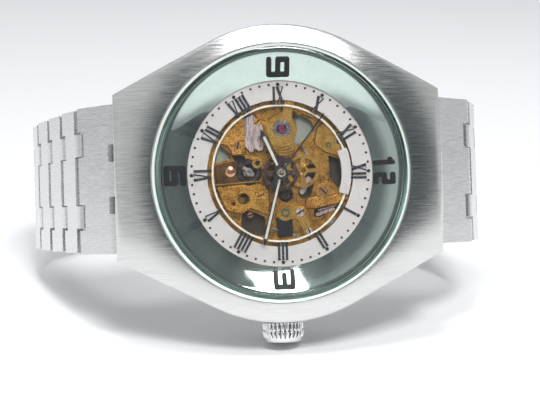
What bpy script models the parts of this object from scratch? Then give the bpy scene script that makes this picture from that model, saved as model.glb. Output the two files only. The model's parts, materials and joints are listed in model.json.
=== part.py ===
"""Skeleton wristwatch on a five-column steel bracelet, closed and standing on its crown side.

Everything is modelled flat on its back in the watch's own frame, in millimetres: +X points to 12 o'clock,
+Y to 9 o'clock and +Z out of the dial, with z = 0 on the case back. The empty "watch" then stands it on the
crown and on the bracelet's edge, dial towards -Y, with its lowest points on z = 0 in metres.
"""

import math

import bmesh
import bpy
from mathutils import Matrix, Vector

MM = 0.001

# --- driving dimensions (mm, degrees) ---
CASE_RADIUS = 20.0
CASE_END_X = 22.2
CASE_END_HALF_WIDTH = 11.1
CASE_BOTTOM = 1.3
CASE_TOP = 10.45
CAVITY_RADIUS = 17.1
CRYSTAL_RADIUS = 16.9
CRYSTAL_TOP = 11.2
CRYSTAL_BOTTOM = 9.65
DIAL_OUTER, DIAL_INNER = 12.5, 9.87
CHAPTER_OUTER, CHAPTER_INNER = 9.34, 9.02
DIAL_TOP, DIAL_BOTTOM = 8.0, 7.62
MOVEMENT_RADIUS = 12.8

PLATE_TOP, PLATE_BOTTOM = 7.3, 6.3
BRIDGE_TOP, BRIDGE_BOTTOM = 3.9, 3.35
RATCHET_TOP, RATCHET_BOTTOM = 3.25, 3.0
PIVOT_RADIUS, PIVOT_HOLE = 0.2, 0.3

# arbor places in the movement
BARREL = (5.0, -3.13)
CENTRE = (0.0, 0.0)
THIRD = (-2.41, -3.44)
ESCAPE = (-3.4, 2.1)
PALLET = (-1.72, 3.76)
BALANCE = (-0.2, 6.3)
MINUTE = (3.1, 0.3)
CROWN_WHEEL = (0.0, -7.6)
CLICK = (9.2, 1.0)
LEVER = (3.3, -11.2)
LEVER_PIN = (0.0, -10.6)
PALLET_PILLAR = (-5.3, 4.0)

STEM_Z = 5.2
CROWN_RADIUS = 2.9
CROWN_OUTER_Y, CROWN_INNER_Y = -22.85, -20.15

HOUR_ANGLE, MINUTE_ANGLE, SECOND_ANGLE = 113.5, -105.1, 52.7

# bracelet: hinge-to-hinge lengths and each link's lean away from straight back
LUG_HINGE = (21.3, 4.4)
END_PITCH, LINK_PITCH = 8.4, 5.8
KNUCKLE, HINGE_GAP = 1.0, 0.15
PIN_RADIUS, PIN_HOLE = 0.5, 0.65
LEANS_12 = (48, 23, -6, -19, -31, -42, -52, -60)
LEANS_6 = (38, 24, 22, 20, 12, -10, -38, -66)
WIDTH_AT_CASE, WIDTH_AT_CLASP = 20.4, 17.4
COLUMN_SHARES = (-1 / 2, -1 / 3, -1 / 6, 1 / 6, 1 / 3, 1 / 2)
COLUMN_GAP = 0.1

# folding clasp, bent to the wrist
CLASP_RADIUS = 40.0
COVER_HALF_WIDTH = 8.9
BLADE_HALF_WIDTH = 5.6
COVER_HINGE_S, BLADE_HINGE_S = 14.2, -13.4
BLADE_HINGE_R = -0.75
BUTTON_S = 4.0

# how far the dial's centre lies from the middle of the standing watch
MIDDLE_X, MIDDLE_Y = 2.19, -13.195

STEEL = ((0.72, 0.72, 0.71), 0.32, 1.0)
POLISHED = ((0.80, 0.80, 0.80), 0.08, 1.0)
GOLD = ((0.83, 0.58, 0.22), 0.28, 1.0)
WHITE = ((0.90, 0.90, 0.86), 0.5, 0.0)
BLACK = ((0.03, 0.03, 0.03), 0.4, 0.0)
GLASS = ((0.85, 0.93, 0.90), 0.03, 0.0)


# --- small makers ---
def clear_scene():
    for thing in list(bpy.data.objects):
        bpy.data.objects.remove(thing, do_unlink=True)


def new_collection(name):
    found = bpy.data.collections.new(name)
    bpy.context.scene.collection.children.link(found)
    return found


def finish_material(name, finish):
    colour, roughness, metallic = finish
    material = bpy.data.materials.new(name)
    material.use_nodes = True
    shader = material.node_tree.nodes["Principled BSDF"]
    shader.inputs["Base Color"].default_value = (*colour, 1.0)
    shader.inputs["Roughness"].default_value = roughness
    shader.inputs["Metallic"].default_value = metallic
    return material


def empty(name, parent=None, location=(0, 0, 0), matrix=None):
    thing = bpy.data.objects.new(name, None)
    WATCH.objects.link(thing)
    thing.parent = parent
    if matrix is None:
        thing.location = Vector(location) * MM
    else:
        thing.matrix_local = matrix
    return thing


def object_from(bm, name, collection):
    bmesh.ops.recalc_face_normals(bm, faces=bm.faces)
    mesh = bpy.data.meshes.new(name)
    bm.to_mesh(mesh)
    bm.free()
    thing = bpy.data.objects.new(name, mesh)
    collection.objects.link(thing)
    return thing


def polar(radius, degrees, centre=(0.0, 0.0)):
    turn = math.radians(degrees)
    return (centre[0] + radius * math.cos(turn), centre[1] + radius * math.sin(turn))


def extrude_outline(bm, outline, low, high, along="z"):
    """A flat outline made solid between two heights, along z, or along y with the outline in x and z."""
    place = (lambda p, h: (p[0], p[1], h)) if along == "z" else (lambda p, h: (p[0], h, p[1]))
    face = bm.faces.new([bm.verts.new(Vector(place(p, low)) * MM) for p in outline])
    grown = bmesh.ops.extrude_face_region(bm, geom=[face])
    lift = Vector(place((0, 0), high - low)) * MM
    bmesh.ops.translate(bm, vec=lift, verts=[v for v in grown["geom"] if isinstance(v, bmesh.types.BMVert)])


def solid(name, outlines, along="z", collection=None):
    """One object from (outline, low, high) prisms, which a Boolean joins where they touch."""
    pieces = []
    for i, (outline, low, high) in enumerate(outlines):
        bm = bmesh.new()
        extrude_outline(bm, outline, low, high, along)
        pieces.append(object_from(bm, name if i == 0 else f"{name}_add{i}", collection or CUTTERS))
    if collection is None:
        WATCH.objects.link(pieces[0])
        CUTTERS.objects.unlink(pieces[0])
    for piece in pieces[1:]:
        combine(pieces[0], piece, "UNION")
    return pieces[0]


def cutter(thing):
    thing.hide_render = True
    thing.display_type = "WIRE"
    return thing


def combine(thing, other, operation="DIFFERENCE"):
    """Cuts, joins or crosses a mesh with another by an exact Boolean, and lets the other move with it."""
    cutter(other)
    other.parent = thing
    change = thing.modifiers.new(f"{operation.lower()}_{other.name}", "BOOLEAN")
    change.operation = operation
    change.object = other
    change.solver = "EXACT"


def circle(radius, centre=(0.0, 0.0), sides=24, first=0.0):
    return [polar(radius, first + 360 * i / sides, centre) for i in range(sides)]


def box(x0, x1, y0, y1):
    return [(x0, y0), (x1, y0), (x1, y1), (x0, y1)]


def bar(start, end, width):
    """A straight bar's outline from one point to another."""
    a, b = Vector(start), Vector(end)
    side = Vector((-(b - a).y, (b - a).x)).normalized() * width / 2
    return [tuple(a - side), tuple(b - side), tuple(b + side), tuple(a + side)]


def teeth(count, radius, depth, centre=(0.0, 0.0), first=0.0):
    """A toothed outline with one tip and one root for each tooth."""
    step = 360 / count
    points = []
    for i in range(count):
        points.append(polar(radius + depth / 2, first + i * step, centre))
        points.append(polar(radius - depth / 2, first + (i + 0.5) * step, centre))
    return points


def turned(name, profile, sides=48, closed=True, collection=None):
    """A profile of (radius, height) points, run down its outer side, turned about z by a Screw."""
    bm = bmesh.new()
    verts = [bm.verts.new((r * MM, 0, z * MM)) for r, z in profile]
    for a, b in zip(verts, verts[1:]):
        bm.edges.new((a, b))
    if closed:
        bm.edges.new((verts[-1], verts[0]))
    mesh = bpy.data.meshes.new(name)
    bm.to_mesh(mesh)
    bm.free()
    thing = bpy.data.objects.new(name, mesh)
    (collection or WATCH).objects.link(thing)
    spin = thing.modifiers.new("turn", "SCREW")
    spin.axis = "Z"
    spin.steps = spin.render_steps = sides
    spin.use_merge_vertices = True
    spin.merge_threshold = 0.000001
    return thing


def ring(name, outer, inner, low, high, sides=48, collection=None):
    profile = [(outer, high), (outer, low), (inner, low), (inner, high)]
    return turned(name, profile, sides, True, collection)


def drilled(thing, holes, low, high, sides=8):
    """Cuts round holes, given as (centre, radius), straight down through a plate."""
    for i, (centre, radius) in enumerate(holes):
        tool = solid(f"{thing.name}_hole{i}", [(circle(radius, centre, sides), low, high)], "z", CUTTERS)
        combine(thing, tool)
    return thing


def bored(name, prisms, radius, low, high, sides=12):
    """Prisms joined on one arbor at the origin, with a round bore through them."""
    return drilled(solid(name, prisms), [((0.0, 0.0), radius)], low, high, sides)


def put(thing, place=(0, 0, 0), parent=None, turn=(0, 0, 0), finish=STEEL):
    """Sets a sub-part on its parent, in millimetres and degrees, with its own material and soft shading."""
    thing.parent = parent or WATCH_ROOT
    thing.location = Vector(place) * MM
    thing.rotation_euler = [math.radians(a) for a in turn]
    thing.data.materials.append(finish_material(thing.name, finish))
    return thing


# --- case ---
def case_outline():
    """The round case with straight flanks that run on as tangents to each end's corner."""
    corner_angle = math.degrees(math.atan2(CASE_END_HALF_WIDTH, CASE_END_X))
    reach = math.hypot(CASE_END_X, CASE_END_HALF_WIDTH)
    touch = corner_angle + math.degrees(math.acos(CASE_RADIUS / reach))
    arc = [polar(CASE_RADIUS, touch + (180 - 2 * touch) * i / 8) for i in range(9)]
    upper = [(CASE_END_X, CASE_END_HALF_WIDTH), *arc, (-CASE_END_X, CASE_END_HALF_WIDTH)]
    return upper + [(-x, -y) for x, y in upper]


def lug_pockets(side):
    """Three pockets in one end of the case for the end link's tongues."""
    tools = []
    inner = LUG_HINGE[0] - KNUCKLE - HINGE_GAP
    for i, (low, high) in enumerate(((-10.3, -4.6), (-2.5, 2.5), (4.6, 10.3))):
        outline = [(side * x, y) for x, y in box(inner, CASE_END_X + 2, low, high)]
        tools.append(solid(f"pocket_{side}_{i}", [(outline, 0, 6.1)], "z", CUTTERS))
    under = [(side * x, z) for x, z in box(inner, CASE_END_X + 2, 0, LUG_HINGE[1] - KNUCKLE)]
    tools.append(solid(f"pocket_{side}_under", [(under, -12, 12)], "y", CUTTERS))
    pin = [(side * (LUG_HINGE[0] + x), LUG_HINGE[1] + z) for x, z in circle(PIN_HOLE, sides=12)]
    tools.append(solid(f"pocket_{side}_pin", [(pin, -10.75, 10.75)], "y", CUTTERS))
    return tools


def make_case():
    body = solid("case_middle", [(case_outline(), 0, 11)])
    dome = [
        (0, CASE_TOP), (17.4, CASE_TOP), (CASE_RADIUS, 9.3), (22.2, 7.9), (25.2, 5.8),
        (25.2, 2.8), (20.5, 2.8), (18.2, CASE_BOTTOM), (0, CASE_BOTTOM),
    ]
    combine(body, turned("case_dome", dome, 44, False, CUTTERS), "INTERSECT")
    bore = [
        (0, 12), (17.36, 12), (17.36, 9.4), (16.5, 9.4), (16.5, 8.0),
        (CAVITY_RADIUS, 8.0), (CAVITY_RADIUS, 0), (0, 0),
    ]
    combine(body, turned("case_bore", bore, 40, False, CUTTERS))
    for side in (1, -1):
        for tool in lug_pockets(side):
            combine(body, tool)
    tube = [(x, STEM_Z + z) for x, z in circle(1.36, sides=16)]
    combine(body, solid("tube_hole", [(tube, -21, -15)], "y", CUTTERS))
    put(body)

    back = [(17.5, 1.25), (17.5, 0.5), (16.8, 0), (11.3, 0), (11.3, 0.3), (12.0, 0.3), (12.0, 1.25)]
    put(turned("case_back", back, 40))
    window = [(0, 1.1), (11.95, 1.1), (11.95, 0.33), (0, 0.33)]
    put(turned("case_back_window", window, 36, False), finish=GLASS)
    glass = [
        (0, CRYSTAL_TOP), (16.3, CRYSTAL_TOP), (CRYSTAL_RADIUS, 10.85),
        (CRYSTAL_RADIUS, CRYSTAL_BOTTOM), (0, CRYSTAL_BOTTOM),
    ]
    put(turned("crystal", glass, 48, False), finish=GLASS)
    put(ring("crystal_gasket", 17.3, 16.94, 9.45, 10.35, 48), finish=WHITE)
    flange = [(16.4, 9.55), (16.4, 8.05), (12.35, 8.05), (12.35, 8.15), (16.2, 9.55)]
    put(turned("flange_ring", flange, 40), finish=POLISHED)
    put(ring("movement_holder", 17.0, 12.95, 6.0, 7.5, 36), finish=WHITE)


def make_dial():
    dial = ring("dial_ring", DIAL_OUTER, DIAL_INNER, DIAL_BOTTOM, DIAL_TOP, 40)
    chapter = ring("dial_chapter", CHAPTER_OUTER, CHAPTER_INNER, DIAL_BOTTOM, DIAL_TOP, 40, CUTTERS)
    combine(dial, chapter, "UNION")
    for hour in range(12):
        strut = bar(polar(CHAPTER_INNER + 0.15, 30 * hour), polar(DIAL_INNER + 0.2, 30 * hour), 0.8)
        tool = solid(f"dial_strut{hour}", [(strut, DIAL_BOTTOM + 0.05, DIAL_TOP - 0.05)], "z", CUTTERS)
        combine(dial, tool, "UNION")
    put(dial, finish=WHITE)


# --- movement: plates and bridges ---
def make_plates():
    rim = ring("main_plate", MOVEMENT_RADIUS, 9.0, PLATE_BOTTOM, PLATE_TOP, 36)
    parts = [circle(r, c, 12) for c, r in (
        (CENTRE, 1.5), (BALANCE, 1.7), (BARREL, 1.7), (THIRD, 1.1), (ESCAPE, 1.0), (PALLET, 0.7),
        (MINUTE, 1.0),
    )]
    parts += [bar(a, b, w) for a, b, w in (
        (CENTRE, MINUTE, 1.5), (MINUTE, BARREL, 1.4), (CENTRE, THIRD, 1.3), (CENTRE, ESCAPE, 1.2),
        (ESCAPE, PALLET, 1.0), (PALLET, BALANCE, 1.0), (BALANCE, polar(9.6, 95), 2.2),
        (BARREL, polar(9.6, -20), 2.0), (BARREL, polar(9.6, -62), 1.4), (THIRD, polar(9.6, -125), 1.6),
        (ESCAPE, polar(9.6, 165), 1.3), (MINUTE, polar(9.6, 18), 1.3),
    )]
    for i, part in enumerate(parts):
        low, high = PLATE_BOTTOM + 0.02 * (i % 4), PLATE_TOP - 0.02 * (i % 5)
        web = solid(f"plate_web{i}", [(part, low, high)], "z", CUTTERS)
        combine(rim, web, "UNION")
    stud = solid("lever_stud", [(circle(0.3, LEVER, 12), 5.85, PLATE_BOTTOM + 0.2)], "z", CUTTERS)
    combine(rim, stud, "UNION")
    post = solid("minute_post", [(circle(0.3, MINUTE, 12), PLATE_TOP - 0.2, 8.0)], "z", CUTTERS)
    combine(rim, post, "UNION")
    holes = [(CENTRE, 0.55), (BALANCE, PIVOT_HOLE), (BARREL, 0.6), (THIRD, PIVOT_HOLE), (ESCAPE, PIVOT_HOLE),
             (PALLET, PIVOT_HOLE)]
    put(drilled(rim, holes, PLATE_BOTTOM - 1, PLATE_TOP + 1), finish=GOLD)


def bridge(name, discs, bars, pillars, holes, low=BRIDGE_BOTTOM, high=BRIDGE_TOP, posts=()):
    """A bridge: discs over its pivots, bars between them, and pillars up to the main plate."""
    prisms = [(circle(r, c, 14), low, high) for c, r in discs]
    prisms += [(bar(a, b, w), low + 0.03, high - 0.03) for a, b, w in bars]
    prisms += [(circle(r, c, 10), low + 0.06, PLATE_BOTTOM - 0.05) for c, r in pillars]
    prisms += [(circle(r, c, 12), z, high - 0.1) for c, r, z in posts]
    return put(drilled(solid(name, prisms), holes, high - 0.4, high + 3), finish=GOLD)


def make_bridges():
    foot_a, foot_b = (11.2, 2.2), (7.6, -8.9)
    barrel = bridge(
        "barrel_bridge", [(BARREL, 3.4), (CROWN_WHEEL, 1.5), (CLICK, 0.9)],
        [(BARREL, CROWN_WHEEL, 2.4), (BARREL, foot_b, 2.0), (CLICK, foot_a, 1.6), (BARREL, CLICK, 1.6)],
        [(foot_a, 0.9), (foot_b, 0.9)], [], posts=[(CLICK, 0.3, 2.95)],
    )
    drilled(barrel, [(BARREL, 0.6), (CROWN_WHEEL, 0.62)], 2, 5)
    foot_c, foot_d = (-11.3, -1.8), (-7.2, -9.2)
    bridge(
        "train_bridge", [(CENTRE, 1.6), (THIRD, 1.3), (ESCAPE, 1.2)],
        [(CENTRE, THIRD, 1.8), (CENTRE, ESCAPE, 1.6), (THIRD, foot_d, 1.8), (ESCAPE, foot_c, 1.8)],
        [(foot_c, 0.9), (foot_d, 0.9)],
        [(CENTRE, PIVOT_HOLE), (THIRD, PIVOT_HOLE), (ESCAPE, PIVOT_HOLE)], posts=[(CENTRE, 0.8, 1.75)],
    )
    foot_e = (3.9, 10.9)
    bridge("balance_cock", [(BALANCE, 1.7)], [(BALANCE, foot_e, 2.2)], [(foot_e, 1.0)],
           [(BALANCE, PIVOT_HOLE)])
    bridge(
        "pallet_bridge", [(PALLET, 0.6)], [(PALLET, PALLET_PILLAR, 0.8)], [(PALLET_PILLAR, 0.5)],
        [(PALLET, PIVOT_HOLE)], 3.55, 3.9,
    )


# --- movement: going train ---
def wheel(name, count, radius, low, high, extras, spokes=4, hub=0.8, rim=0.5):
    """A toothed wheel with crossings, and its pinion and arbor joined on: extras are (outline, low, high)."""
    depth = 2.0 * radius / count
    body = solid(name, [(teeth(count, radius, depth), low, high), *extras])
    for i in range(spokes):
        start, step = 360 / spokes * i, 360 / spokes
        inner = [polar(hub, start + step * (0.22 + 0.56 * k)) for k in range(2)]
        outer = [polar(radius - rim, start + step * (0.9 - 0.8 * k / 3)) for k in range(4)]
        window = solid(f"{name}_window{i}", [(inner + outer, low - 0.02, high + 0.02)], "z", CUTTERS)
        combine(body, window)
    return body


def arbor(low, high, radius=PIVOT_RADIUS, sides=8):
    return (circle(radius, sides=sides), low, high)


def make_train():
    drum = [
        (4.75, 5.75), (4.75, 4.6), (0.62, 4.6), (0.62, 4.78),
        (4.45, 4.78), (4.45, 5.57), (0.62, 5.57), (0.62, 5.75),
    ]
    barrel = turned("barrel", drum, 24)
    rack = solid("barrel_teeth", [(teeth(72, 5.0, 0.16), 5.42, 5.7)], "z", CUTTERS)
    combine(rack, solid("barrel_teeth_bore", [(circle(4.6, sides=24), 5, 6)], "z", CUTTERS))
    combine(barrel, rack, "UNION")
    put(barrel, (*BARREL, 0), finish=STEEL)

    turns, strip, points = 5, 0.12, 60
    path = [(0.95 + 3.2 * i / points, 360 * turns * i / points) for i in range(points + 1)]
    coil = [polar(r - strip / 2, a) for r, a in path] + [polar(r + strip / 2, a) for r, a in reversed(path)]
    put(solid("mainspring", [(coil, 4.85, 5.5)]), (*BARREL, 0), finish=STEEL)

    ratchet = [(teeth(45, 3.95, 0.16), RATCHET_BOTTOM, RATCHET_TOP), arbor(RATCHET_BOTTOM + 0.05, 6.95, 0.5)]
    put(solid("ratchet_wheel", ratchet), (*BARREL, 0), finish=STEEL)

    centre = wheel("centre_wheel", 80, 3.7, 5.9, 6.1, [
        (teeth(12, 0.8, 0.16), 5.35, 5.95), arbor(5.9, 8.25, 0.42, 12),
    ])
    drilled(centre, [(CENTRE, 0.24)], 4, 10, 10)
    put(centre, finish=GOLD)
    third = wheel("third_wheel", 75, 3.64, 4.33, 4.47, [
        (teeth(10, 0.44, 0.12), 5.82, 6.18), arbor(3.6, 7.0, 0.2),
    ])
    put(third, (*THIRD, 0), finish=GOLD)
    fourth = wheel("fourth_wheel", 84, 3.66, 4.03, 4.17, [
        (teeth(10, 0.46, 0.12), 4.1, 4.55), arbor(3.6, 9.32, 0.15),
    ])
    put(fourth, finish=GOLD)
    escape = wheel("escape_wheel", 15, 1.95, 4.6, 4.75, [
        (teeth(7, 0.27, 0.08), 3.97, 4.25), arbor(3.6, 7.0, 0.16),
    ], 4, 0.5, 0.55)
    put(escape, (*ESCAPE, 0), finish=STEEL)


def make_escapement():
    to_escape = math.degrees(math.atan2(ESCAPE[1] - PALLET[1], ESCAPE[0] - PALLET[0]))
    to_balance = math.degrees(math.atan2(BALANCE[1] - PALLET[1], BALANCE[0] - PALLET[0]))
    lever = [
        polar(2.3, to_balance - 7), polar(1.95, to_balance), polar(2.3, to_balance + 7),
        polar(0.5, to_balance + 30),
        polar(1.6, to_escape - 76), polar(1.8, to_escape - 68), polar(1.3, to_escape - 65),
        polar(0.25, to_escape),
        polar(1.3, to_escape + 65), polar(1.8, to_escape + 68), polar(1.6, to_escape + 76),
        polar(0.5, to_balance - 30),
    ]
    fork = solid("pallet_fork", [(lever, 4.56, 4.78), arbor(3.62, 7.0, 0.16)])
    put(fork, (*PALLET, 0), finish=STEEL)

    balance = ring("balance_wheel", 4.25, 3.75, 5.0, 5.4, 28)
    for i, part in enumerate((
        (bar((-3.9, 0), (3.9, 0), 0.5), 5.06, 5.34), arbor(3.6, 6.9, 0.2), (circle(0.6, sides=14), 4.86, 5.2),
    )):
        combine(balance, solid(f"balance_part{i}", [part], "z", CUTTERS), "UNION")
    put(balance, (*BALANCE, 0), turn=(0, 0, 25), finish=GOLD)

    turns, strip, points = 5, 0.07, 60
    path = [(0.55 + 1.75 * i / points, 360 * turns * i / points) for i in range(points + 1)]
    coil = [polar(r - strip / 2, a) for r, a in path] + [polar(r + strip / 2, a) for r, a in reversed(path)]
    put(solid("hairspring", [(coil, 4.4, 4.52)]), (*BALANCE, 0), finish=STEEL)


def make_motion_work():
    cannon = [(teeth(12, 0.74, 0.14), 7.37, 7.62), arbor(7.4, 8.92, 0.62, 16)]
    put(bored("cannon_pinion", cannon, 0.48, 5, 10), finish=STEEL)
    minute = wheel("minute_wheel", 36, 2.28, 7.38, 7.55, [(teeth(10, 0.6, 0.14), 7.5, 7.88)], 4, 0.75, 0.5)
    drilled(minute, [(CENTRE, 0.36)], 5, 10)
    put(minute, (*MINUTE, 0), finish=GOLD)
    hour = wheel("hour_wheel", 40, 2.42, 7.66, 7.84, [arbor(7.7, 8.58, 0.92, 18)], 4, 1.15, 0.45)
    drilled(hour, [(CENTRE, 0.68)], 5, 10, 16)
    put(hour, finish=STEEL)


def make_hands():
    def hand(name, length, width, tail, tail_width, hub, bore, low, high, angle):
        outline = [(-tail, -tail_width / 2), (0, -width / 2), (length - width, -width / 2), (length, 0),
                   (length - width, width / 2), (0, width / 2), (-tail, tail_width / 2)]
        layers = [(outline, low, high), (circle(hub, sides=20), low - 0.01, high + 0.04)]
        thing = bored(name, layers, bore, 5, 12, 14)
        put(thing, turn=(0, 0, angle), finish=BLACK)

    hand("hour_hand", 6.5, 0.95, 1.7, 0.7, 1.25, 0.94, 8.42, 8.56, HOUR_ANGLE)
    hand("minute_hand", 10.0, 0.85, 2.0, 0.65, 1.0, 0.65, 8.72, 8.86, MINUTE_ANGLE)
    hand("second_hand", 10.0, 0.28, 2.6, 0.7, 0.6, 0.17, 9.02, 9.12, SECOND_ANGLE)


# --- movement: winding and setting ---
def along_stem(name, prisms, bore=None, finish=STEEL, parent=None):
    """Prisms turned about the stem, which runs along y through the stem's height."""
    thing = solid(name, prisms, "y")
    if bore:
        combine(thing, solid(f"{name}_bore", [(circle(bore, sides=12), -30, 0)], "y", CUTTERS))
    return put(thing, (0, 0, STEM_Z), finish=finish, parent=parent)


def make_winding():
    along_stem("crown_tube", [(circle(1.3, sides=20), -19.5, -17.2)], 0.72)
    stem = [
        (circle(0.42, sides=12), -9.6, -5.75), (circle(0.58, sides=14), -10.28, -9.55),
        (circle(0.34, sides=12), -10.95, -10.2), (circle(0.58, sides=14), -21.6, -10.92),
    ]
    along_stem("stem", stem)
    crown = along_stem("crown", [
        (teeth(30, CROWN_RADIUS - 0.1, 0.2), -22.3, CROWN_INNER_Y),
        (circle(2.6, sides=30), CROWN_OUTER_Y, -22.25),
    ], finish=POLISHED)
    for name, radius, depth in (("skirt", 1.75, -21.4), ("socket", 0.64, -21.8)):
        combine(crown, solid(f"crown_{name}", [(circle(radius, sides=20), depth, -19)], "y", CUTTERS))
    along_stem("crown_gasket", [(circle(1.68, sides=20), -20.7, -20.2)], 0.74, BLACK)
    along_stem("winding_pinion", [(teeth(10, 0.9, 0.18), -9.4, -8.2)], 0.52)
    along_stem("sliding_pinion", [
        (circle(0.68, sides=16), -8.1, -7.3), (circle(0.6, sides=16), -7.35, -6.9),
        (circle(0.68, sides=16), -6.95, -6.4),
    ], 0.52)

    gears = [(teeth(30, 2.6, 0.16), RATCHET_BOTTOM, RATCHET_TOP), arbor(3.2, 4.05, 0.5, 14),
             (teeth(12, 1.15, 0.16), 3.98, 4.16)]
    put(solid("crown_wheel", gears), (*CROWN_WHEEL, 0))

    tip = Vector(BARREL) + 4.08 * (Vector(CLICK) - Vector(BARREL)).normalized()
    reach = tip - Vector(CLICK)
    arm = [(bar((0, 0), tuple(reach), 0.45), 3.03, 3.2), (circle(0.65, sides=16), 3.0, 3.24)]
    put(bored("click", arm, 0.4, 2, 5), (*CLICK, 0))

    pin = Vector(LEVER_PIN) - Vector(LEVER)
    lever = [(bar((0, 0), tuple(pin), 0.8), 5.92, 6.12), (circle(0.75, sides=16), 5.9, 6.14),
             (circle(0.2, tuple(pin), 10), 5.6, 6.0), (circle(0.5, tuple(pin), 12), 5.9, 6.1)]
    put(bored("setting_lever", lever, 0.4, 5.7, 7), (*LEVER, 0))


def make_rotor():
    """The winding weight hangs towards the crown, a half disc with a heavy rim on a hub."""
    def half(outer, inner, start=180, stop=360, steps=16):
        arc = [polar(outer, start + (stop - start) * i / steps) for i in range(steps + 1)]
        return arc + [polar(inner, stop - (stop - start) * i / steps) for i in range(steps + 1)]

    prisms = [(half(12.2, 9.6), 1.8, 2.7), (half(9.8, 0.9), 2.3, 2.6), (circle(1.6, sides=20), 1.9, 2.75)]
    put(bored("rotor", prisms, 0.9, 1, 5, 20), finish=GOLD)


# --- bracelet ---
def width_at(step):
    """The bracelet's taper: its width after so many of the eight rows."""
    return WIDTH_AT_CASE + (WIDTH_AT_CLASP - WIDTH_AT_CASE) * step / 8


def plate_profile(start, stop, thickness=2 * KNUCKLE, steps=4):
    """A link's side view: a flat bar whose round ends are centred on two hinges."""
    half = thickness / 2
    right = [(stop + half * math.sin(math.pi * i / steps), half * math.cos(math.pi * i / steps))
             for i in range(steps + 1)]
    left = [(start - half * math.sin(math.pi * i / steps), -half * math.cos(math.pi * i / steps))
            for i in range(steps + 1)]
    return right + left


def notch(name, start, stop, low, high):
    return solid(name, [(box(start, stop, -3, 3), low, high)], "y", CUTTERS)


def link(name, pitch, width, near_columns, near_wall, own_bar, parent, place, turn):
    """A bracelet link: tongues round its own hinge, bored or with their own bar, and pinned fingers."""
    body = solid(name, [(plate_profile(0, pitch), -width / 2, width / 2)], "y")
    wall = KNUCKLE + HINGE_GAP
    edges = [share * width for share in COLUMN_SHARES]
    for i, (low, high) in enumerate(near_columns(width)):
        combine(body, notch(f"{name}_near{i}", -3, near_wall, low, high))
    for i in (1, 3):
        low, high = edges[i] - COLUMN_GAP, edges[i + 1] + COLUMN_GAP
        combine(body, notch(f"{name}_far{i}", pitch - wall, pitch + 3, low, high))
    if own_bar:
        bar = [(circle(PIN_RADIUS, sides=8), -own_bar, own_bar)]
        combine(body, solid(f"{name}_bar", bar, "y", CUTTERS), "UNION")
    else:
        combine(body, solid(f"{name}_bore", [(circle(PIN_HOLE, sides=8), -width, width)], "y", CUTTERS))
    pin = [(pitch + x, z) for x, z in circle(PIN_RADIUS, sides=8)]
    combine(body, solid(f"{name}_pin", [(pin, -width / 2 + 0.3, width / 2 - 0.3)], "y", CUTTERS), "UNION")
    return put(body, place, parent, turn)


def clear_of_fingers(width):
    """Where a link is cut away near its own hinge: over columns one, three and five."""
    edges = [share * width for share in COLUMN_SHARES]
    middle = (edges[2] - COLUMN_GAP, edges[3] + COLUMN_GAP)
    return [(-width, edges[1] + COLUMN_GAP), middle, (edges[4] - COLUMN_GAP, width)]


def clear_of_case(width):
    """Where an end link is cut away: round the case's two knuckles and outside its cheeks."""
    return [(-width, -10.15), (-4.75, -2.35), (2.35, 4.75), (10.15, width)]


def hinge_points(leans):
    """The chain's hinges, in x and z, from the lug to the clasp."""
    points = [LUG_HINGE]
    for i, lean in enumerate(leans):
        pitch = END_PITCH if i == 0 else LINK_PITCH
        turn = math.radians(lean)
        x, z = points[-1]
        points.append((x + pitch * math.sin(turn), z - pitch * math.cos(turn)))
    return points


def make_side(hour, leans, side):
    """One half of the bracelet, built to +x on an empty that side_6 turns half way round."""
    for i, ((x, z), lean) in enumerate(zip(hinge_points(leans), leans)):
        name = f"end_link_{hour}" if i == 0 else f"link_{hour}_{i}"
        shape = (END_PITCH, width_at(i), clear_of_case, 1.6, 10.6)
        if i > 0:
            shape = (LINK_PITCH, width_at(i), clear_of_fingers, KNUCKLE + HINGE_GAP, None)
        link(name, *shape, side, (x, 0, z), (0, 90 - lean, 0))


# --- folding clasp ---
def clasp_frame():
    """The clasp's bend in the watch's x and z: centre, half length, and axes along and outward."""
    a = Vector(hinge_points(LEANS_6)[-1]) * Vector((-1, 1))
    b = Vector(hinge_points(LEANS_12)[-1])
    along = (b - a).normalized()
    out = Vector((along.y, -along.x))
    half = (b - a).length / 2
    centre = (a + b) / 2 - out * math.sqrt(CLASP_RADIUS**2 - half**2)
    return centre, math.asin(half / CLASP_RADIUS) * CLASP_RADIUS, along, out


def bent(s, r, origin=(0.0, 0.0)):
    """A point at length s along the bend and height r outside it, from the origin given in the same way."""
    def place(length, height):
        turn = length / CLASP_RADIUS
        return Vector(((CLASP_RADIUS + height) * math.sin(turn), (CLASP_RADIUS + height) * math.cos(turn)))

    return tuple(place(s, r) - place(*origin))


def strip(s0, s1, r0, r1, origin, steps=8):
    """A bent bar's outline between two lengths and two heights."""
    outer = [bent(s0 + (s1 - s0) * i / steps, r1, origin) for i in range(steps + 1)]
    return outer + [bent(s1 - (s1 - s0) * i / steps, r0, origin) for i in range(steps + 1)]


def knuckle(s, r, origin, radius=0.75, sides=12):
    return circle(radius, bent(s, r, origin), sides)


def cut_round(thing, name, place, radius, low, high):
    combine(thing, solid(name, [(circle(radius, place, 14), low, high)], "y", CUTTERS))


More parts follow.
